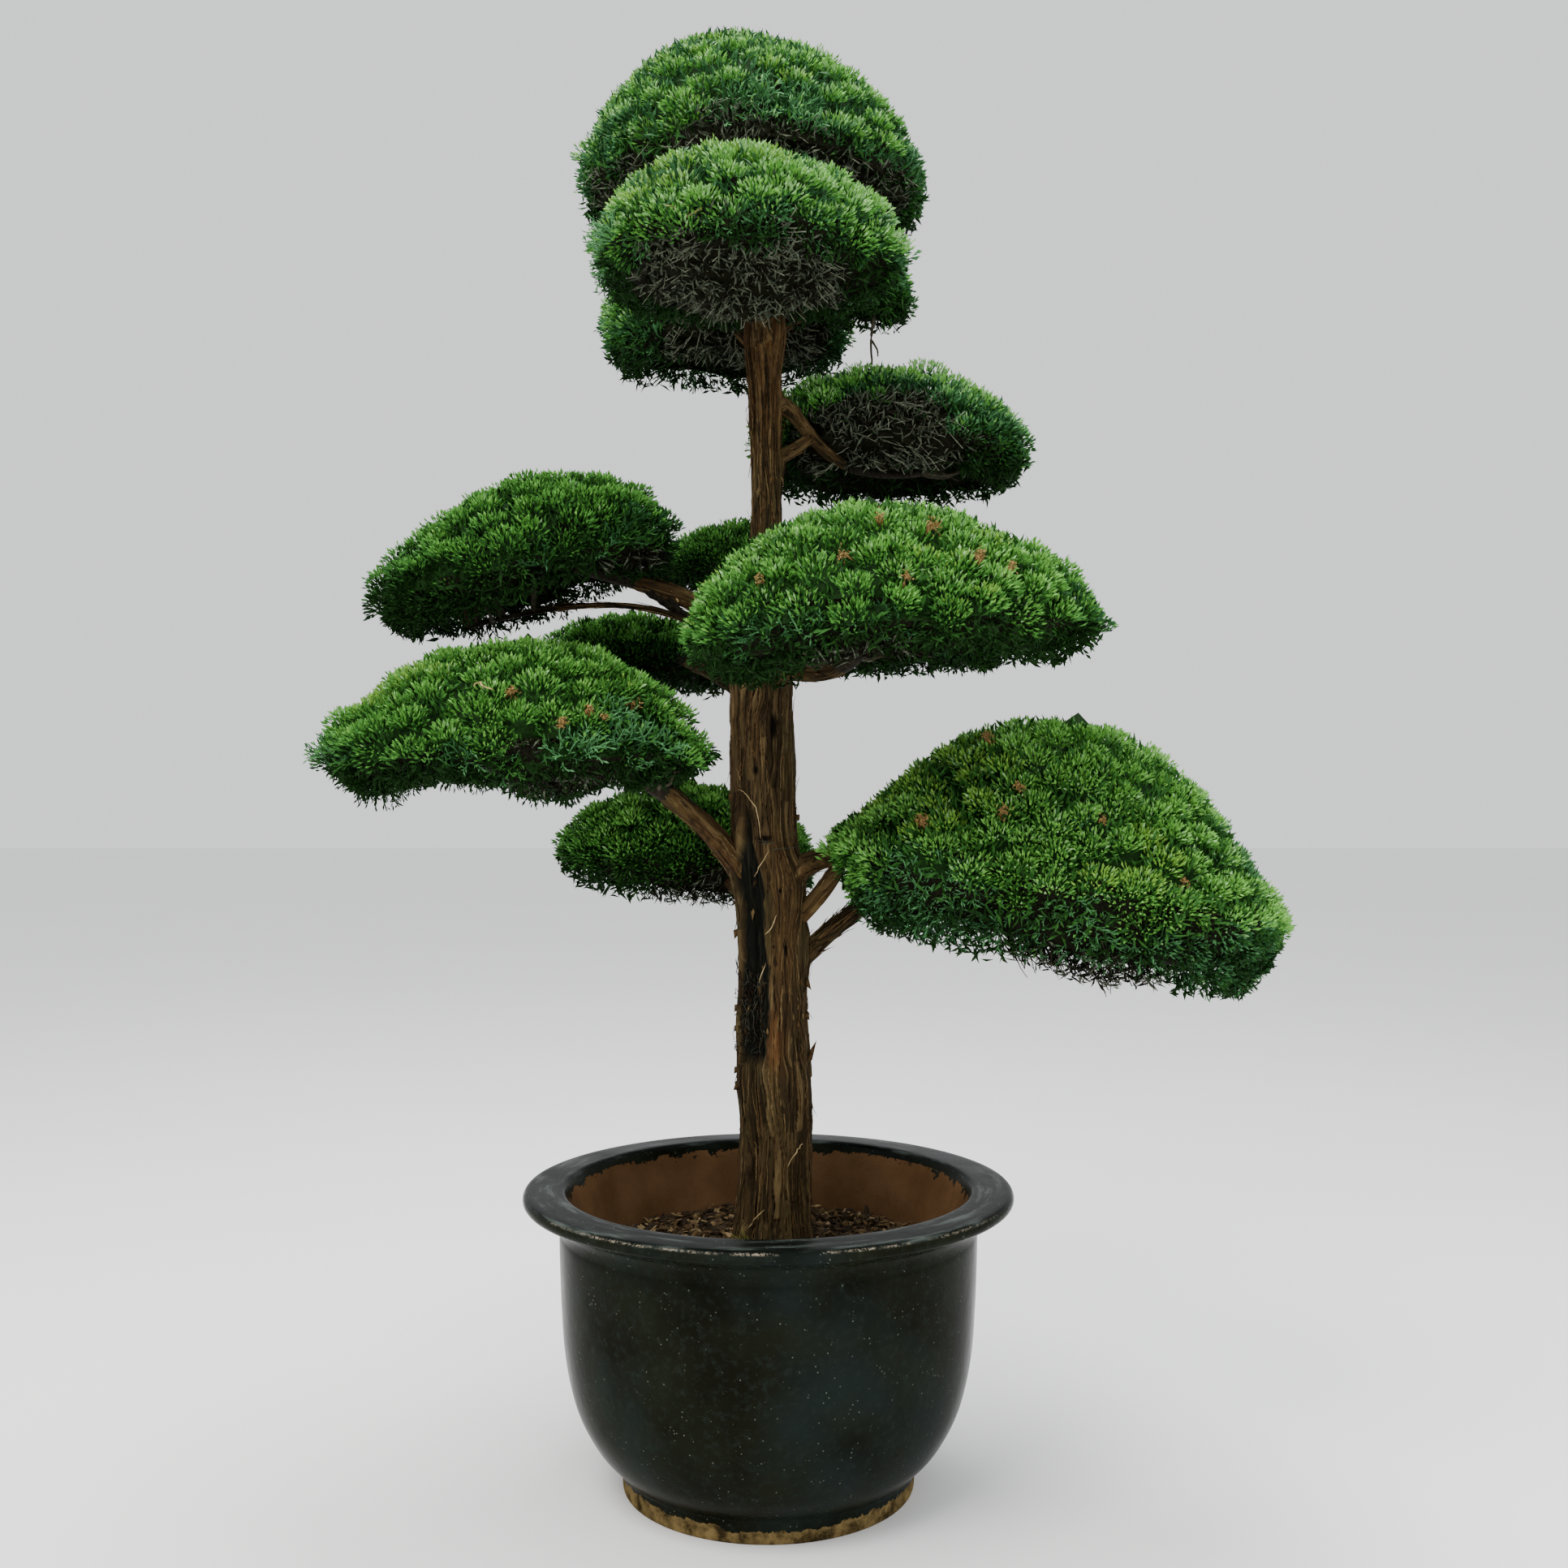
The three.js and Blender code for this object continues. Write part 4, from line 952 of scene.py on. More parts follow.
def base_grass(rng, count=46):
    """Yellow-green mossy fibres round the foot of the trunk, mostly at its left."""
    around = -2.45 + rng.normal(0, 0.35, count)
    lean, reach, _, _ = trunk_surface(around, np.full(count, 0.446))
    out = np.stack([np.cos(around), np.sin(around), 0 * around], 1)
    root = np.stack([lean, 0 * around, np.full(count, 0.432)], 1) + out * (reach + 0.002)[:, None]
    height = rng.uniform(0.012, 0.042, count)
    lean_out = out * (height * rng.uniform(0.1, 0.8, count))[:, None] + rng.normal(0, 0.005, (count, 3))
    t = np.linspace(0, 1, 5)[None, :, None]
    lines = root[:, None] + UP * height[:, None, None] * t + lean_out[:, None] * t**2
    width = 0.0011 * np.array([0.8, 1.0, 0.9, 0.6, 0.2])[None] * np.ones((count, 1))
    return shaded(rods(lines, width, out), rng.choice([MOSS, MOSS, TAN], count))


def make_strands():
    """All that hangs loose on the bark, as one piece."""
    rng = seeded("loose bark")
    parts = [trunk_strands(rng), channel_tangle(rng), *named_strands(), *trunk_flakes(rng),
             *bough_strands(rng), base_grass(rng)]
    settle("loose_bark", mesh_of("loose_bark", *joined(parts), True), FIBRES, None)


# Masses

def cloud(mass, way, inset=0.0):
    """The surface of a mass, from directions on the unit sphere."""
    x, y, z = way[:, 0], way[:, 1], way[:, 2]
    at, wide = mass["at"], mass["wide"]
    flat = np.hypot(x, y)
    around = np.arctan2(y, x)
    seed = at[0] * 10 + at[2] * 3
    lobes = 0.985 + 0.03 * np.cos(3 * around + seed) + 0.02 * np.cos(5 * around + 2 * seed)
    out = flat**0.94 * (1 + (lobes - 1) * flat)
    px = (wide[0] - inset) * out * np.cos(around)
    py = (wide[1] - inset) * out * np.sin(around)
    lift = np.maximum(z, 0) ** mass["peak"]
    inward = np.where(z < 0, np.maximum(1 - flat**0.94, 0), 0)
    lip = np.minimum(inward / 0.22, 1) ** mass["corner"]
    rise = np.maximum(0, (inward - 0.22) / 0.78)
    lumps = 1 + 0.04 * np.sin(px * 21 + seed) * np.cos(py * 23 + seed) * flat
    dome = (mass["up"] - inset) * lift * lumps
    under = (mass["down"] - inset) * lip - (mass["down"] + mass["hollow"]) * rise * rise * (3 - 2 * rise)
    for sag_x, half, sag in mass["sag"]:
        under += lip * sag * np.exp(-(((at[0] + px - sag_x) / half) ** 2))
    return np.stack([
        at[0] + px + mass["apex"][0] * lift,
        at[1] + py + mass["apex"][1] * lift,
        at[2] + mass["slope"][0] * px + mass["slope"][1] * py + dome - under,
    ], 1)


def random_ways(count, lowest, rng):
    """Directions at random, down to a lowest height on the unit sphere."""
    z = rng.uniform(lowest, 1, count)
    around = rng.uniform(0, 2 * np.pi, count)
    flat = np.sqrt(1 - z * z)
    return np.stack([flat * np.cos(around), flat * np.sin(around), z], 1)


def along_surface(way):
    """Two directions square to each direction, one of them level."""
    side = unit(np.stack([-way[:, 1], way[:, 0], np.full(len(way), 1e-3)], 1))
    return side, np.cross(side, way)


def outwards(mass, way):
    """The outward direction of a mass's surface at those directions."""
    step = 0.03
    side, down = along_surface(way)
    a = cloud(mass, unit(way + step * side)) - cloud(mass, unit(way - step * side))
    b = cloud(mass, unit(way + step * down)) - cloud(mass, unit(way - step * down))
    return unit(np.cross(b, a))


def spread(mass, spacing, lowest, rng, tries=9000):
    """Directions whose places on a mass are all at least that far apart."""
    ways = random_ways(tries, lowest, rng)
    places = cloud(mass, ways)
    kept = []
    for i in range(tries):
        if not kept or np.min(np.sum((places[kept] - places[i]) ** 2, 1)) > spacing * spacing:
            kept.append(i)
    return ways[kept]


def near_limb(points, room):
    """Whether each point is closer than that room to the trunk or to a bough."""
    lean, radius = trunk_at(points[:, 2])
    near = np.hypot(points[:, 0] - lean, points[:, 1]) < radius + room
    near &= (points[:, 2] < TRUNK[-1, 0]) & (points[:, 2] > SOIL_TOP)
    for _, _, enters, radii, curve in LIMBS:
        if enters == 0:
            continue
        line = limb_point(curve, np.linspace(0, enters, 24))
        gap = np.min(np.linalg.norm(points[:, None] - line[None], axis=2), axis=1)
        near |= gap < radii[0] + room
    return near


def within(patches, way):
    """How far inside any of the patches a direction lies, from 0 to 1."""
    inside = np.zeros(len(way))
    ragged = ripple(15, way[:, 0] * 5 + 20, way[:, 1] * 5 + way[:, 2] * 4 + 20) - 0.5
    for direction, cosine in patches:
        near = way @ unit(np.array(direction)) + 0.9 * (1 - cosine) * ragged
        inside = np.maximum(inside, np.clip((near - cosine) / (0.3 * (1 - cosine)) + 0.5, 0, 1))
    return inside


def bareness(mass, way):
    """How bare of leaves a mass is in a direction, from 0 to 1."""
    return within(mass["bare"], way) * (1 - within(mass["cover"], way))


def tuft_tones(mass, places, normals, bare, rng):
    """A tone for each tuft: painted light on top, painted shade below, lighter in patches, darker by bare
    places.
    """
    patch = ripple(3, places[:, 0] * 7 + places[:, 2] * 4, places[:, 1] * 7 + places[:, 2] * 7)
    light = mass["light"] + 0.40 * (normals[:, 2] - 0.35) + 0.30 * (patch - 0.5)
    plane = mass["at"][2] + mass["slope"][0] * (places[:, 0] - mass["at"][0])
    light -= mass["low"] * np.clip(0.25 + (plane - places[:, 2]) / mass["down"], 0, 1)
    return light + rng.normal(0, 0.06, len(places)) - 0.6 * bare


def scatter(mass, density, rng, tries=40000):
    """Directions spread at random over a whole mass, so many to each square metre."""
    way = random_ways(tries, -1, rng)
    side, down = along_surface(way)
    step = 0.01
    a = (cloud(mass, unit(way + step * side)) - cloud(mass, way)) / step
    b = (cloud(mass, unit(way + step * down)) - cloud(mass, way)) / step
    share = np.minimum(np.linalg.norm(np.cross(a, b), axis=1), 1.0)
    wanted = density * 4 * np.pi * share / tries
    return way[rng.uniform(0, 1, tries) < wanted]


def tuft_frame(mass, rng):
    """Where the tufts of a mass stand, and which way they point, with their bare share and their tone."""
    way = spread(mass, TUFT_SPACING, mass["lip"], rng)
    inset, lip = mass["trim"]
    place, normal = cloud({**mass, "down": mass["down"] - lip}, way, inset), outwards(mass, way)
    bare = bareness(mass, way)
    hanging = 0.55 * np.clip((mass["lip"] + 0.26 - way[:, 2]) / 0.20, 0, 1)
    lacy = np.maximum(within(mass["lace"], way), hanging)
    keep = ~near_limb(place, 0.012)
    place, normal, bare, lacy = place[keep], normal[keep], bare[keep], lacy[keep]
    swell = ripple(6, place[:, 0] * 9 + place[:, 2] * 3, place[:, 1] * 9 - place[:, 2] * 6) - 0.5
    place = place + normal * (0.010 * swell - 0.003 + rng.normal(0, 0.0045, len(place)))[:, None]
    outward = unit((place - np.array(mass["at"])) * np.array([1, 1, 0]))
    lift = np.interp(normal[:, 2], [-0.7, -0.2, 0.2], [0.0, 0.4, 0.9])[:, None]
    heading = unit(normal + lift * UP + 0.20 * outward + rng.normal(0, 0.19, place.shape))
    return place, normal, heading, bare, lacy, tuft_tones(mass, place, normal, bare, rng)


def fan(count, shoots, spread_angle, rng):
    """Even places over round fans, as an angle off the middle and an angle round it."""
    ring = np.sqrt((np.arange(shoots) + 0.5) / shoots) + rng.normal(0, 0.05, (count, shoots))
    turn = np.arange(shoots) * GOLDEN_ANGLE + rng.uniform(0, 6.3, (count, 1))
    return np.clip(ring, 0, 1.1) * spread_angle, turn + rng.normal(0, 0.12, (count, shoots))


def grow_sprays(mass, rng):
    """The shoots of a mass, as points, faces and material numbers, and the tufts' bases."""
    place, normal, heading, bare, lacy, light = tuft_frame(mass, rng)
    count = len(place)
    size = TUFT_DEPTH * rng.uniform(0.84, 1.18, (count, 1))
    base = place - heading * size
    longest = rng.uniform(0, np.pi, (count, 1))
    side, flat = across(heading, np.broadcast_to(UP + 0.01, normal.shape))
    patch = ripple(12, place[:, 0] * 6 + 5, place[:, 1] * 6 + place[:, 2] * 7)
    # Besides its patches, the hue leans to yellow on top and to the left, where the light falls, and to
    # blue below and to the right, as painted light and shade.
    hue = patch + 0.22 * (normal[:, 2] - 0.3) - 0.10 * (place[:, 0] - mass["at"][0]) / mass["wide"][0]
    hue += mass["warm"] + rng.normal(0, 0.06, count)
    lacy = rng.uniform(0, 1, count) < lacy

    parts = []
    for each, depth, painted_dim in SHELLS:
        lean, turn = fan(count, each, TUFT_SPREAD, rng)
        lean = lean * (1 + 0.20 * np.cos(2 * (turn - longest)))
        spoke = side[:, None] * np.cos(turn)[..., None] + flat[:, None] * np.sin(turn)[..., None]
        aim = heading[:, None] * np.cos(lean)[..., None] + spoke * np.sin(lean)[..., None]
        far = size * depth * (1 + rng.normal(0, 0.055, (count, each)))
        tip = base[:, None] + aim * far[..., None]
        point = unit(aim + rng.normal(0, 0.12, aim.shape))
        full = rng.uniform(0, 1, (count, each)) > 0.97 * bare[:, None]
        full &= ~lacy[:, None] | (rng.uniform(0, 1, (count, each)) < 0.12)
        full &= ~near_limb(tip.reshape(-1, 3), 0.005).reshape(count, each)
        low = np.sum(spoke * -UP, 2) * np.sin(lean)
        # Painted shade: darker towards a tuft's edge where tufts meet, on shoots that lean down and in the
        # dimmer shell.
        tone = light[:, None] + 0.18 - 0.40 * (lean / TUFT_SPREAD) ** 2 - 0.22 * low - painted_dim
        tone += rng.normal(0, 0.13, lean.shape)
        tip, point, tone = tip[full], point[full], tone[full]
        owner = np.broadcast_to(np.arange(count)[:, None], full.shape)[full]
        length = SHOOT_LENGTH * rng.uniform(0.8, 1.25, len(tip))
        thick = SHOOT_RADIUS * rng.uniform(0.8, 1.2, len(tip))
        shoots = spikes(tip - point * length[:, None], tip, thick, unit(rng.normal(0, 1, tip.shape)))
        parts.append(shaded(shoots, shoot_kinds(mass, tip, tone, hue[owner], rng)))
    chosen = lacy & (bare < 0.5)
    if chosen.any():
        parts.append(grow_lace(place[chosen], heading[chosen], light[chosen], rng))
    parts += grow_knots(mass, parts[0][0], rng)
    return joined(parts), base


def shoot_kinds(mass, tip, tone, hue, rng):
    """The finish of each shoot, by its tone and its tuft's hue, with pale and brown ones here and there."""
    # The tone's steps run from painted shade to painted light.
    kinds = np.digitize(tone, [0.04, 0.28, 0.52, 0.80])
    chance = rng.uniform(0, 1, len(tip))
    kinds = np.where((kinds == LIGHT) & (chance < mass["pale"]), PALE, kinds)
    kinds = np.where((kinds == LIGHT) & (hue > 0.86), YELLOW, kinds)
    cool = 0.14 + 0.5 * mass["pale"]
    kinds = np.where((kinds == LIGHT) & (hue < 0.16), BLUE, kinds)
    kinds = np.where((kinds == GREEN) & (hue < cool), BLUE, kinds)
    kinds = np.where((kinds == LEAF) & (hue < cool + 0.08), DUSK, kinds)
    for x, z, size in mass["dead"]:
        near = np.hypot(tip[:, 0] - x, tip[:, 2] - z) < size * rng.uniform(0.5, 1.2, len(tip))
        kinds = np.where(near & (tip[:, 1] < mass["at"][1]), DEAD, kinds)
    return kinds


def grow_knots(mass, points, rng, each=44):
    """The dead sprigs on the front of a mass, as little curled tufts where its shoots end."""
    middles = []
    for x, z, size in mass["dead"]:
        near = points[np.hypot(points[:, 0] - x, points[:, 2] - z) < size]
        if len(near):
            middles.append((x, np.quantile(near[:, 1], 0.03), z, size))
    if not middles:
        return []
    middles = np.repeat(np.array(middles), each, axis=0)
    size = middles[:, 3:]
    ways = unit(rng.normal(0, 1, (len(middles), 3)) + np.array([0.0, -0.5, 0.5]))
    root = middles[:, :3] + rng.normal(0, 0.40, (len(middles), 3)) * size
    tip = root + ways * size * rng.uniform(0.35, 0.80, (len(middles), 1))
    thick = np.full(len(root), KNOT_RADIUS)
    return [(*spikes(root, tip, thick, unit(rng.normal(0, 1, root.shape))), DEAD)]


def grow_lace(place, heading, light, rng):
    """Open sprigs that stand in place of a full tuft: thin curving shoots with short side shoots."""
    count, steps = len(place), 7
    side, flat = across(heading, np.broadcast_to(UP + 0.01, heading.shape))
    lean, turn = fan(count, LACE_SPRIGS, LACE_SPREAD, rng)
    spoke = side[:, None] * np.cos(turn)[..., None] + flat[:, None] * np.sin(turn)[..., None]
    aim = (heading[:, None] * np.cos(lean)[..., None] + spoke * np.sin(lean)[..., None]).reshape(-1, 3)
    m = len(aim)
    curl = unit(np.cross(aim, rng.normal(0, 1, (m, 3)))) * rng.uniform(0.3, 1.0, (m, 1))
    at = np.repeat(place - 0.050 * heading, LACE_SPRIGS, axis=0) + 0.014 * aim
    line, arms = [at], []
    for step in range(steps - 1):
        way = unit(aim + curl * (0.30 * step - 0.35) + rng.normal(0, 0.10, (m, 3)))
        at = at + LACE_STEP * way
        line.append(at)
        if step in (1, 2, 3, 4):
            hand = (-1) ** step * unit(np.cross(way, curl)) + 0.5 * rng.normal(0, 1, (m, 3))
            arms.append((at, at + unit(way + 0.9 * unit(hand)) * rng.uniform(0.010, 0.019, (m, 1))))
    lines = np.stack(line, 1)
    width = LACE_RADIUS * np.linspace(1.0, 0.55, steps)[None] * rng.uniform(0.8, 1.2, (m, 1))
    sprigs = rods(lines, width, unit(rng.normal(0, 1, (m, 3))))
    # An open sprig is a step darker than its tuft, as painted shade.
    tone = np.repeat(light, LACE_SPRIGS) - 0.16 + rng.normal(0, 0.1, m)
    kinds = np.array([SHADE, DEEP, DUSK, BLUE])[np.digitize(tone, [-0.15, 0.05, 0.28])]
    root, tip = np.concatenate([a for a, _ in arms]), np.concatenate([b for _, b in arms])
    arm_shoots = spikes(root, tip, np.full(len(root), LACE_RADIUS), unit(rng.normal(0, 1, root.shape)))
    return joined([shaded(sprigs, kinds), shaded(arm_shoots, np.tile(kinds, len(arms)))])


def grow_inner(mass, rng):
    """The shoots in painted shade that fill a mass between its tufts and its dense inside, dry where it is
    bare.
    """
    way = scatter(mass, 2 * INNER_PER_AREA, rng)
    normal = outwards(mass, way)
    dry = rng.uniform(0, 1, len(way)) < bareness(mass, way)
    shallow = np.interp(normal[:, 2], [-0.5, 0.1], [0.002, 0.018])
    depth = np.where(dry, rng.uniform(0.012, 0.040, len(way)), shallow + rng.uniform(0, 0.026, len(way)))
    place = cloud(mass, way) - normal * depth[:, None]
    keep = ~near_limb(place, 0.012) & (dry | (rng.uniform(0, 1, len(way)) < 0.5))
    place, normal, dry = place[keep], normal[keep], dry[keep]
    heading = unit(0.6 * normal + 0.5 * UP + rng.normal(0, 0.6, place.shape))
    half = rng.uniform(0.010, 0.018, len(place))[:, None]
    thick = rng.uniform(0.0024, 0.0036, len(place)) * np.where(dry, 0.7, 1.0)
    shoots = spikes(place - heading * half, place + heading * half, thick,
                    unit(rng.normal(0, 1, place.shape)))
    # Painted light and shade: lighter on top and darkest facing down, a step lighter in the pale masses;
    # the dry shoots are part dry grey and part painted shade.
    light = mass["light"] + 0.5 * normal[:, 2] + rng.normal(0, 0.2, len(place))
    shades = (DEEP, DUSK) if mass["pale"] > 0.3 else (SHADE, DEEP)
    kinds = np.where(normal[:, 2] < -0.4, SHADE, np.array(shades)[np.digitize(light, [0.70])])
    dull = [DRY, DRY, INNER] if mass["pale"] > 0.3 else [DRY, INNER, INNER]
    return shaded(shoots, np.where(dry, rng.choice(dull, len(dry)), kinds))


def grow_dense(mass, rng):
    """The dense inside of a mass: a rough body of painted shade, well under the shoots, that ends above the
    lip.
    """
    bm = bmesh.new()
    bmesh.ops.create_icosphere(bm, subdivisions=4, radius=1)
    way = unit(np.array([v.co for v in bm.verts]))
    faces = np.array([[v.index for v in face.verts] for face in bm.faces])
    bm.free()
    inside = {**mass, "down": 0.80 * mass["down"], "hollow": mass["hollow"] + 0.006}
    out = outwards(inside, way)
    depth = INNER_DEPTH * np.interp(out[:, 2], [-0.5, 0.1], [0.45, 1.0])
    depth += rng.uniform(-0.010, 0.010, len(way))
    place = cloud(inside, way) - out * depth[:, None]
    a, b, c = (place[faces[:, k]] for k in range(3))
    normal = unit(np.cross(b - a, c - a))
    # Painted shade: dark green on the upper faces, near black below and under bare patches.
    shade = np.where((normal[:, 2] > 0.0) & (bareness(mass, way)[faces].max(1) < 0.3), SHADE, INNER)
    return place, faces, shade


def grow_twigs(name, mass, base, rng):
    """Stems, the twigs that fan out from them to the dome, and a twig to the base of each tuft."""
    parts = []
    stems = [(curve, enters, radii) for _, carried, enters, radii, curve in LIMBS if carried == name]
    hubs = []
    for curve, enters, radii in stems:
        t = np.linspace(max(enters - 0.02, 0), 1, 10)
        line = limb_point(curve, t)
        parts.append((*rods(line[None], limb_radius(radii, t)[None], unit(UP + 0.1)[None], 7), DARK_WOOD))
        hubs.append(limb_point(curve, np.linspace(enters + 0.1 * (1 - enters), 1, 12)))
    hubs = np.concatenate(hubs)
    heads = base[rng.permutation(len(base))[: max(6, len(base) // 6)]]
    nearest = np.argmin(np.linalg.norm(heads[:, None] - hubs[None], axis=2), axis=1)
    start = hubs[nearest]
    t = np.linspace(0, 1, 7)[None, :, None]
    bend = rng.normal(0, 0.016, (len(heads), 1, 3)) + 0.012 * UP
    lines = start[:, None] * (1 - t) + heads[:, None] * t + 4 * bend * t * (1 - t)
    lines += rng.normal(0, 0.0022, lines.shape) * (t > 0) * (t < 1)
    width = 0.0052 * (1 - 0.55 * np.linspace(0, 1, 7))[None] * rng.uniform(0.8, 1.3, (len(heads), 1))
    parts.append((*rods(lines, width, unit(rng.normal(0, 1, (len(heads), 3))), 4), BROWN_WOOD))
    forks = lines[:, 2:].reshape(-1, 3)
    nearest = np.argmin(np.linalg.norm(base[:, None] - forks[None], axis=2), axis=1)
    t = np.linspace(0, 1, 5)[None, :, None]
    bend = rng.normal(0, 0.010, (len(base), 1, 3))
    lines = forks[nearest][:, None] * (1 - t) + base[:, None] * t + 4 * bend * t * (1 - t)
    width = 0.0026 * (1 - 0.4 * np.linspace(0, 1, 5))[None] * rng.uniform(0.8, 1.3, (len(base), 1))
    parts.append((*rods(lines, width, unit(rng.normal(0, 1, (len(base), 3)))), DARK_WOOD))
    for owner, half_width, finish, points in DRY_TWIGS:
        if owner == name:
            line = smooth_line(points, 5)
            line += rng.normal(0, 0.1 * half_width, line.shape)
            width = half_width * np.linspace(1.15, 0.6, len(line))
            parts.append((*rods(line[None], width[None], unit(UP + 0.1)[None], 6), finish))
    return parts + grow_ribs(mass, hubs[:4], rng)


def grow_ribs(mass, hubs, rng):
    """Leafless twigs that fan out from the bough under a mass and end in bundles on its bare parts."""
    way = spread(mass, RIB_SPACING, -1, rng, 5000)
    way = way[rng.uniform(0, 1, len(way)) < bareness(mass, way)][: mass["ribs"]]
    if not len(way):
        return []
    out = outwards(mass, way)
    tips = cloud(mass, way) - out * rng.uniform(0.002, 0.020, (len(way), 1))
    clear = ~near_limb(tips, 0.006)
    way, out, tips = way[clear], out[clear], tips[clear]
    count = len(way)
    span = tips - hubs.mean(0)
    longest = 0.8 * np.linalg.norm(span, axis=1, keepdims=True)
    length = np.minimum(rng.uniform(0.05, 0.13, (count, 1)), longest)
    start = tips - (unit(span) + 0.20 * out - 0.45 * UP) * length
    bundle = ripple(16, way[:, 0] * 5 + 9, way[:, 2] * 5 + way[:, 1] * 3)[:, None] - 0.5
    bow = unit(np.cross(span, out)) * (0.9 * bundle + rng.normal(0, 0.08, (count, 1))) * length
    lowest = tips[:, None, 2] - 0.012
    t = np.linspace(0, 1, 9)[None, :, None]
    lines = start[:, None] * (1 - t) + tips[:, None] * t + 4 * bow[:, None] * t * (1 - t)
    lines += rng.normal(0, 0.0010, lines.shape)
    lines[:, :, 2] = np.maximum(lines[:, :, 2], lowest)
    width = RIB_RADIUS * (1 - 0.60 * t[:, :, 0]) * rng.uniform(0.6, 1.3, (count, 1))
    tones = PALE_RIBS if mass["pale"] > 0.3 else DARK_RIBS
    ribs = shaded(rods(lines, width, unit(rng.normal(0, 1, (count, 3)))), rng.choice(tones, count))
    t = np.linspace(0, 1, 5)[None, :, None]
    along = lines[:, -1:] - lines[:, 4:5]
    twist = rng.normal(0, 0.30, (count, 1, 3)) * np.linalg.norm(along, axis=2, keepdims=True)
    forks = lines[:, 4:5] + along * t * 0.9 + twist * t**1.4
    forks[:, :, 2] = np.maximum(forks[:, :, 2], lowest)
    thin = FORK_RADIUS * (1 - 0.5 * t[:, :, 0]) * np.ones((count, 1))
    forks = shaded(rods(forks, thin, unit(rng.normal(0, 1, (count, 3)))), rng.choice(tones, count))
    return [ribs, forks]


def make_masses():
    """Each mass as three pieces: its sprays, its inside in painted shade and its twigs."""
    for name, own in MASSES.items():
        mass = {**USUAL, **own}
        rng = seeded(name)
        sprays, base = grow_sprays(mass, rng)
        settle(f"{name}_sprays", mesh_of(f"{name}_sprays", *sprays), LEAVES, name)
        inner = joined([grow_inner(mass, rng), grow_dense(mass, rng)])
        settle(f"{name}_inner", mesh_of(f"{name}_inner", *inner), LEAVES, None)
        twigs = joined(grow_twigs(name, mass, base, rng))
        settle(f"{name}_twigs", mesh_of(f"{name}_twigs", *twigs, True), TWIGS, None)


# Pot and soil

def turned(name, profile, turns):
    """A closed shell turned round the axis from a profile that starts and ends on it."""
    bm = bmesh.new()
    verts = [bm.verts.new((r, 0, z)) for r, z in profile]
    edges = [bm.edges.new(pair) for pair in zip(verts, verts[1:])]
    bmesh.ops.spin(bm, geom=verts + edges, cent=(0, 0, 0), axis=(0, 0, 1), angle=2 * math.pi,
                   steps=turns, use_merge=True, use_duplicate=False)
    bmesh.ops.remove_doubles(bm, verts=bm.verts, dist=1e-6)
    bmesh.ops.recalc_face_normals(bm, faces=bm.faces)
    for face in bm.faces:
        face.smooth = True
    mesh = bpy.data.meshes.new(name)
    bm.to_mesh(mesh)
    bm.free()
    return mesh


def make_pot():
    """The pot, with where it is glazed, worn, stained or painted with rim reflections stored for its
    finish.
    """
    outside = smooth_line(POT_OUTSIDE, 4)
    inside = smooth_line(POT_INSIDE[:-1], 4)
    profile = [(0.0, 0.0), *map(tuple, outside), *map(tuple, inside), POT_INSIDE[-1]]
    mesh = turned("pot_shell", profile, POT_TURNS)
    co = corners(mesh)
    r, z = np.hypot(co[:, 0], co[:, 1]), co[:, 2]
    wall = np.interp(z, [0.06, 0.2, 0.34, 0.5], [0.26, 0.33, 0.36, 0.37])
    inner = (r < MOUTH_RADIUS - 0.001) & (z > 0.06) & (r < wall)
    bearing = np.arctan2(co[:, 1], co[:, 0])
    foot = np.clip((z - 0.022 - 0.010 * np.abs(np.cos(bearing))) / 0.03, -1, 1)
    lip = np.clip((z - 0.531) / 0.05, -1, 1)
    glazed = np.where(inner, lip, foot)
    front = np.clip(-2.2 * np.sin(bearing) - 0.9, 0, 1)
    edge = np.exp(-(((z - 0.5425) / 0.0013) ** 2)) * (r > 0.443) * front
    # Where the rim's top is, and places round the pot, for its painted reflection streaks.
    rim = np.clip((z - 0.540) / 0.004, 0, 1) * (r > 0.372)
    ring = np.stack([3.0 * np.cos(bearing), 3.0 * np.sin(bearing), 60 * r], 1)
    store(mesh, "ring", ring)
    for key, values in (("glazed", glazed), ("edge", edge), ("rim", rim), ("foot", (z < 0.06) & ~inner)):
        store(mesh, key, values)
    settle("pot_shell", mesh, [glaze_finish()], "pot")


def soil_height(x, y):
    """The height of the uneven top of the soil."""
    rough = 0.012 * (ripple(41, x * 30, y * 30) - 0.5) + 0.006 * (ripple(42, x * 90, y * 90) - 0.5)
    return SOIL_TOP - 0.004 + rough - 0.006 * np.clip(np.hypot(x, y) / SOIL_RADIUS, 0, 1) ** 2


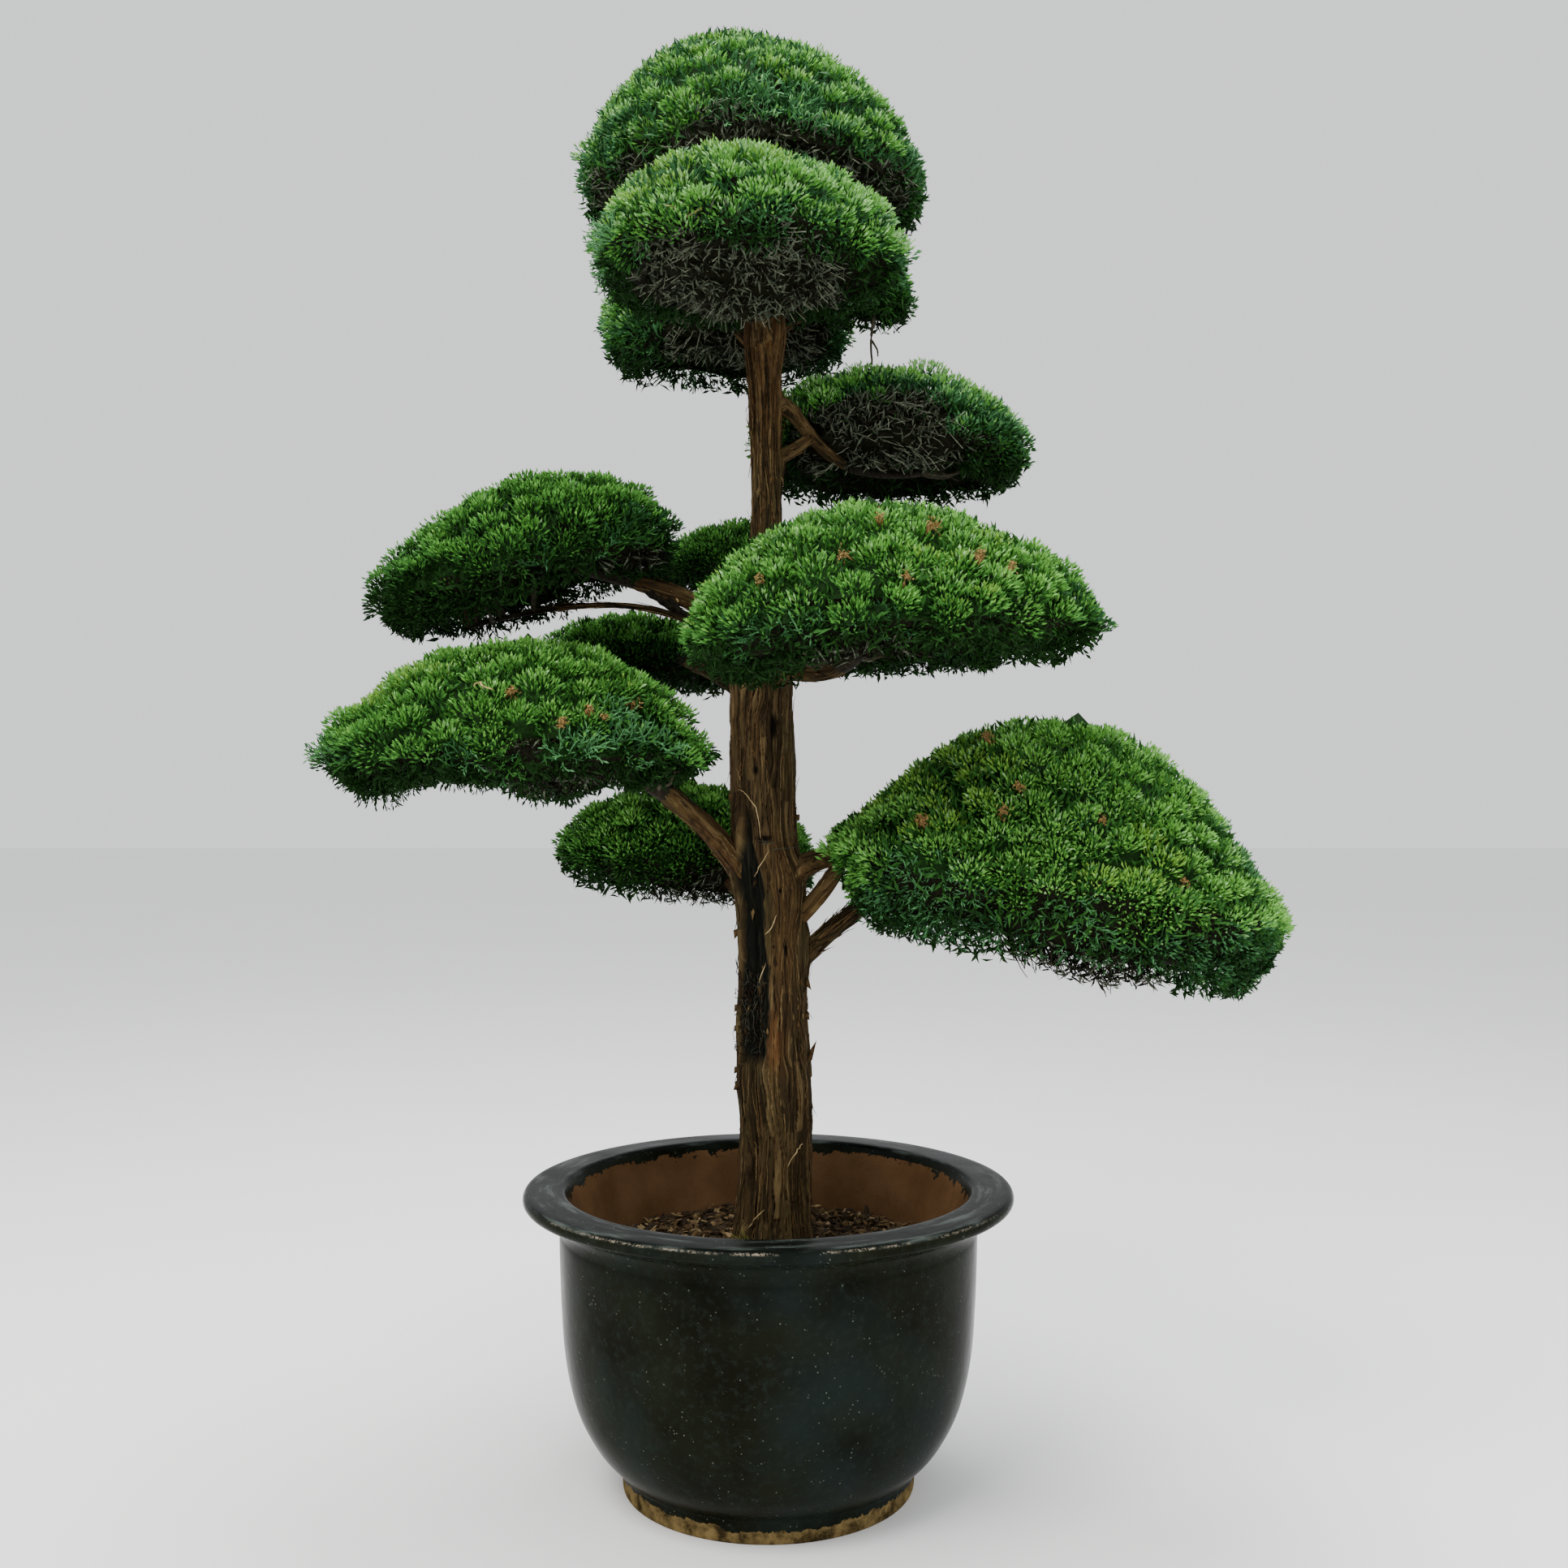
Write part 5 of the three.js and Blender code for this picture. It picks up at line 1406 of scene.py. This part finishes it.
def make_soil():
    """The potting mix that fills the pot, and the bark chips that lie on it."""
    rings = 44
    across_soil = [(SOIL_RADIUS * (1 - i / rings), SOIL_TOP - 0.004) for i in range(rings)]
    profile = [(0.0, 0.380), (0.318, 0.380), *across_soil, (0.0, SOIL_TOP - 0.004)]
    mesh = turned("soil_bed", profile, 120)
    co = corners(mesh)
    top = co[:, 2] > 0.40
    co[top, 2] = soil_height(co[top, 0], co[top, 1])
    mesh.vertices.foreach_set("co", co.ravel())
    mix = soil_finish("potting_mix", (74, 58, 34), (30, 21, 10))
    settle("soil_bed", mesh, [mix], "soil")

    rng = seeded("bark chips")
    r = (SOIL_RADIUS - 0.012) * np.sqrt(rng.uniform(0.03, 1, CHIPS))
    turn = rng.uniform(0, 2 * np.pi, CHIPS)
    x, y = r * np.cos(turn), r * np.sin(turn)
    centre = np.stack([x, y, soil_height(x, y) + rng.uniform(0.001, 0.010, CHIPS)], 1)
    tilts = [rng.normal(0, 1, CHIPS), rng.normal(0, 1, CHIPS), rng.normal(0, 0.28, CHIPS)]
    heading = unit(np.stack(tilts, 1))
    length = rng.uniform(0.010, 0.034, CHIPS)
    stretch = np.array([-0.5, -0.2, 0.25, 0.5])[:, None] * length[:, None, None]
    lines = centre[:, None] + heading[:, None] * stretch
    lines += rng.normal(0, 0.0012, lines.shape)
    lines[:, :, 2] = np.minimum(lines[:, :, 2], SOIL_TOP + 0.018)
    width = rng.uniform(0.0028, 0.0065, CHIPS)[:, None] * np.array([0.5, 1.0, 0.9, 0.4])
    facing = unit(UP + rng.normal(0, 0.45, (CHIPS, 3)))
    finishes = [
        soil_finish("chip_brown", (92, 72, 42), (48, 35, 18)),
        soil_finish("chip_dark", (52, 40, 24), (26, 19, 11)),
        soil_finish("chip_pale", (138, 118, 84), (96, 78, 50)),
    ]
    brown, dark, pale = range(3)
    chips = shaded(rods(lines, width, facing, 4, 0.38), rng.choice([brown, brown, dark, dark, pale], CHIPS))
    settle("bark_chips", mesh_of("bark_chips", *chips), finishes, None)


# Studio

def area_light(name, place, aim, size, power, colour=(1, 1, 1)):
    """A soft square lamp at a place, turned to its aim."""
    light = bpy.data.lights.new(name, "AREA")
    light.shape = "RECTANGLE"
    light.size, light.size_y = size
    light.energy = power
    light.color = colour
    lamp = bpy.data.objects.new(name, light)
    bpy.context.scene.collection.objects.link(lamp)
    lamp.location = place
    towards = unit(np.array(aim, float) - np.array(place, float))
    lamp.rotation_euler = (math.acos(-towards[2]), 0, math.atan2(-towards[0], towards[1]))


def make_studio():
    """A plain pale floor under an even pale sky, with three soft lamps."""
    bm = bmesh.new()
    bmesh.ops.create_grid(bm, x_segments=1, y_segments=1, size=30)
    mesh = bpy.data.meshes.new("floor")
    bm.to_mesh(mesh)
    bm.free()
    floor = bpy.data.objects.new("floor", mesh)
    bpy.context.scene.collection.objects.link(floor)
    f = Finish("pale_floor", 0.9, 0.2)
    f.colour(f.mix(f.noise(f.place(), 0.6, 2.0), (0.86, 0.86, 0.86, 1), (0.90, 0.90, 0.89, 1)))
    mesh.materials.append(f.material)

    world = bpy.data.worlds.new("studio")
    world.use_nodes = True
    world.node_tree.nodes["Background"].inputs["Color"].default_value = (0.97, 0.98, 1.0, 1)
    world.node_tree.nodes["Background"].inputs["Strength"].default_value = 1.15
    bpy.context.scene.world = world
    area_light("key", (-2.0, -3.0, 6.0), (0.0, 0.0, 1.5), (3.2, 3.2), 440, (1.0, 0.98, 0.95))
    area_light("top", (0.4, 0.6, 5.6), (0.0, 0.0, 1.4), (2.6, 2.6), 300)
    area_light("fill", (3.6, -2.6, 2.2), (0.1, 0.0, 1.2), (2.5, 2.5), 40, (0.95, 0.98, 1.0))


def make_camera():
    """A level camera in front of the plant, at the height of the lower pads."""
    camera = bpy.data.cameras.new("camera")
    camera.lens = 37.83
    camera.sensor_width = 36
    camera.clip_end = 100
    holder = bpy.data.objects.new("camera", camera)
    bpy.context.scene.collection.objects.link(holder)
    holder.location = (0.0285, -3.05, 1.286)
    holder.rotation_euler = (math.pi / 2, 0, 0)
    bpy.context.scene.camera = holder


make_camera()
make_studio()
make_pot()
make_soil()
make_limbs()
make_strands()
make_masses()
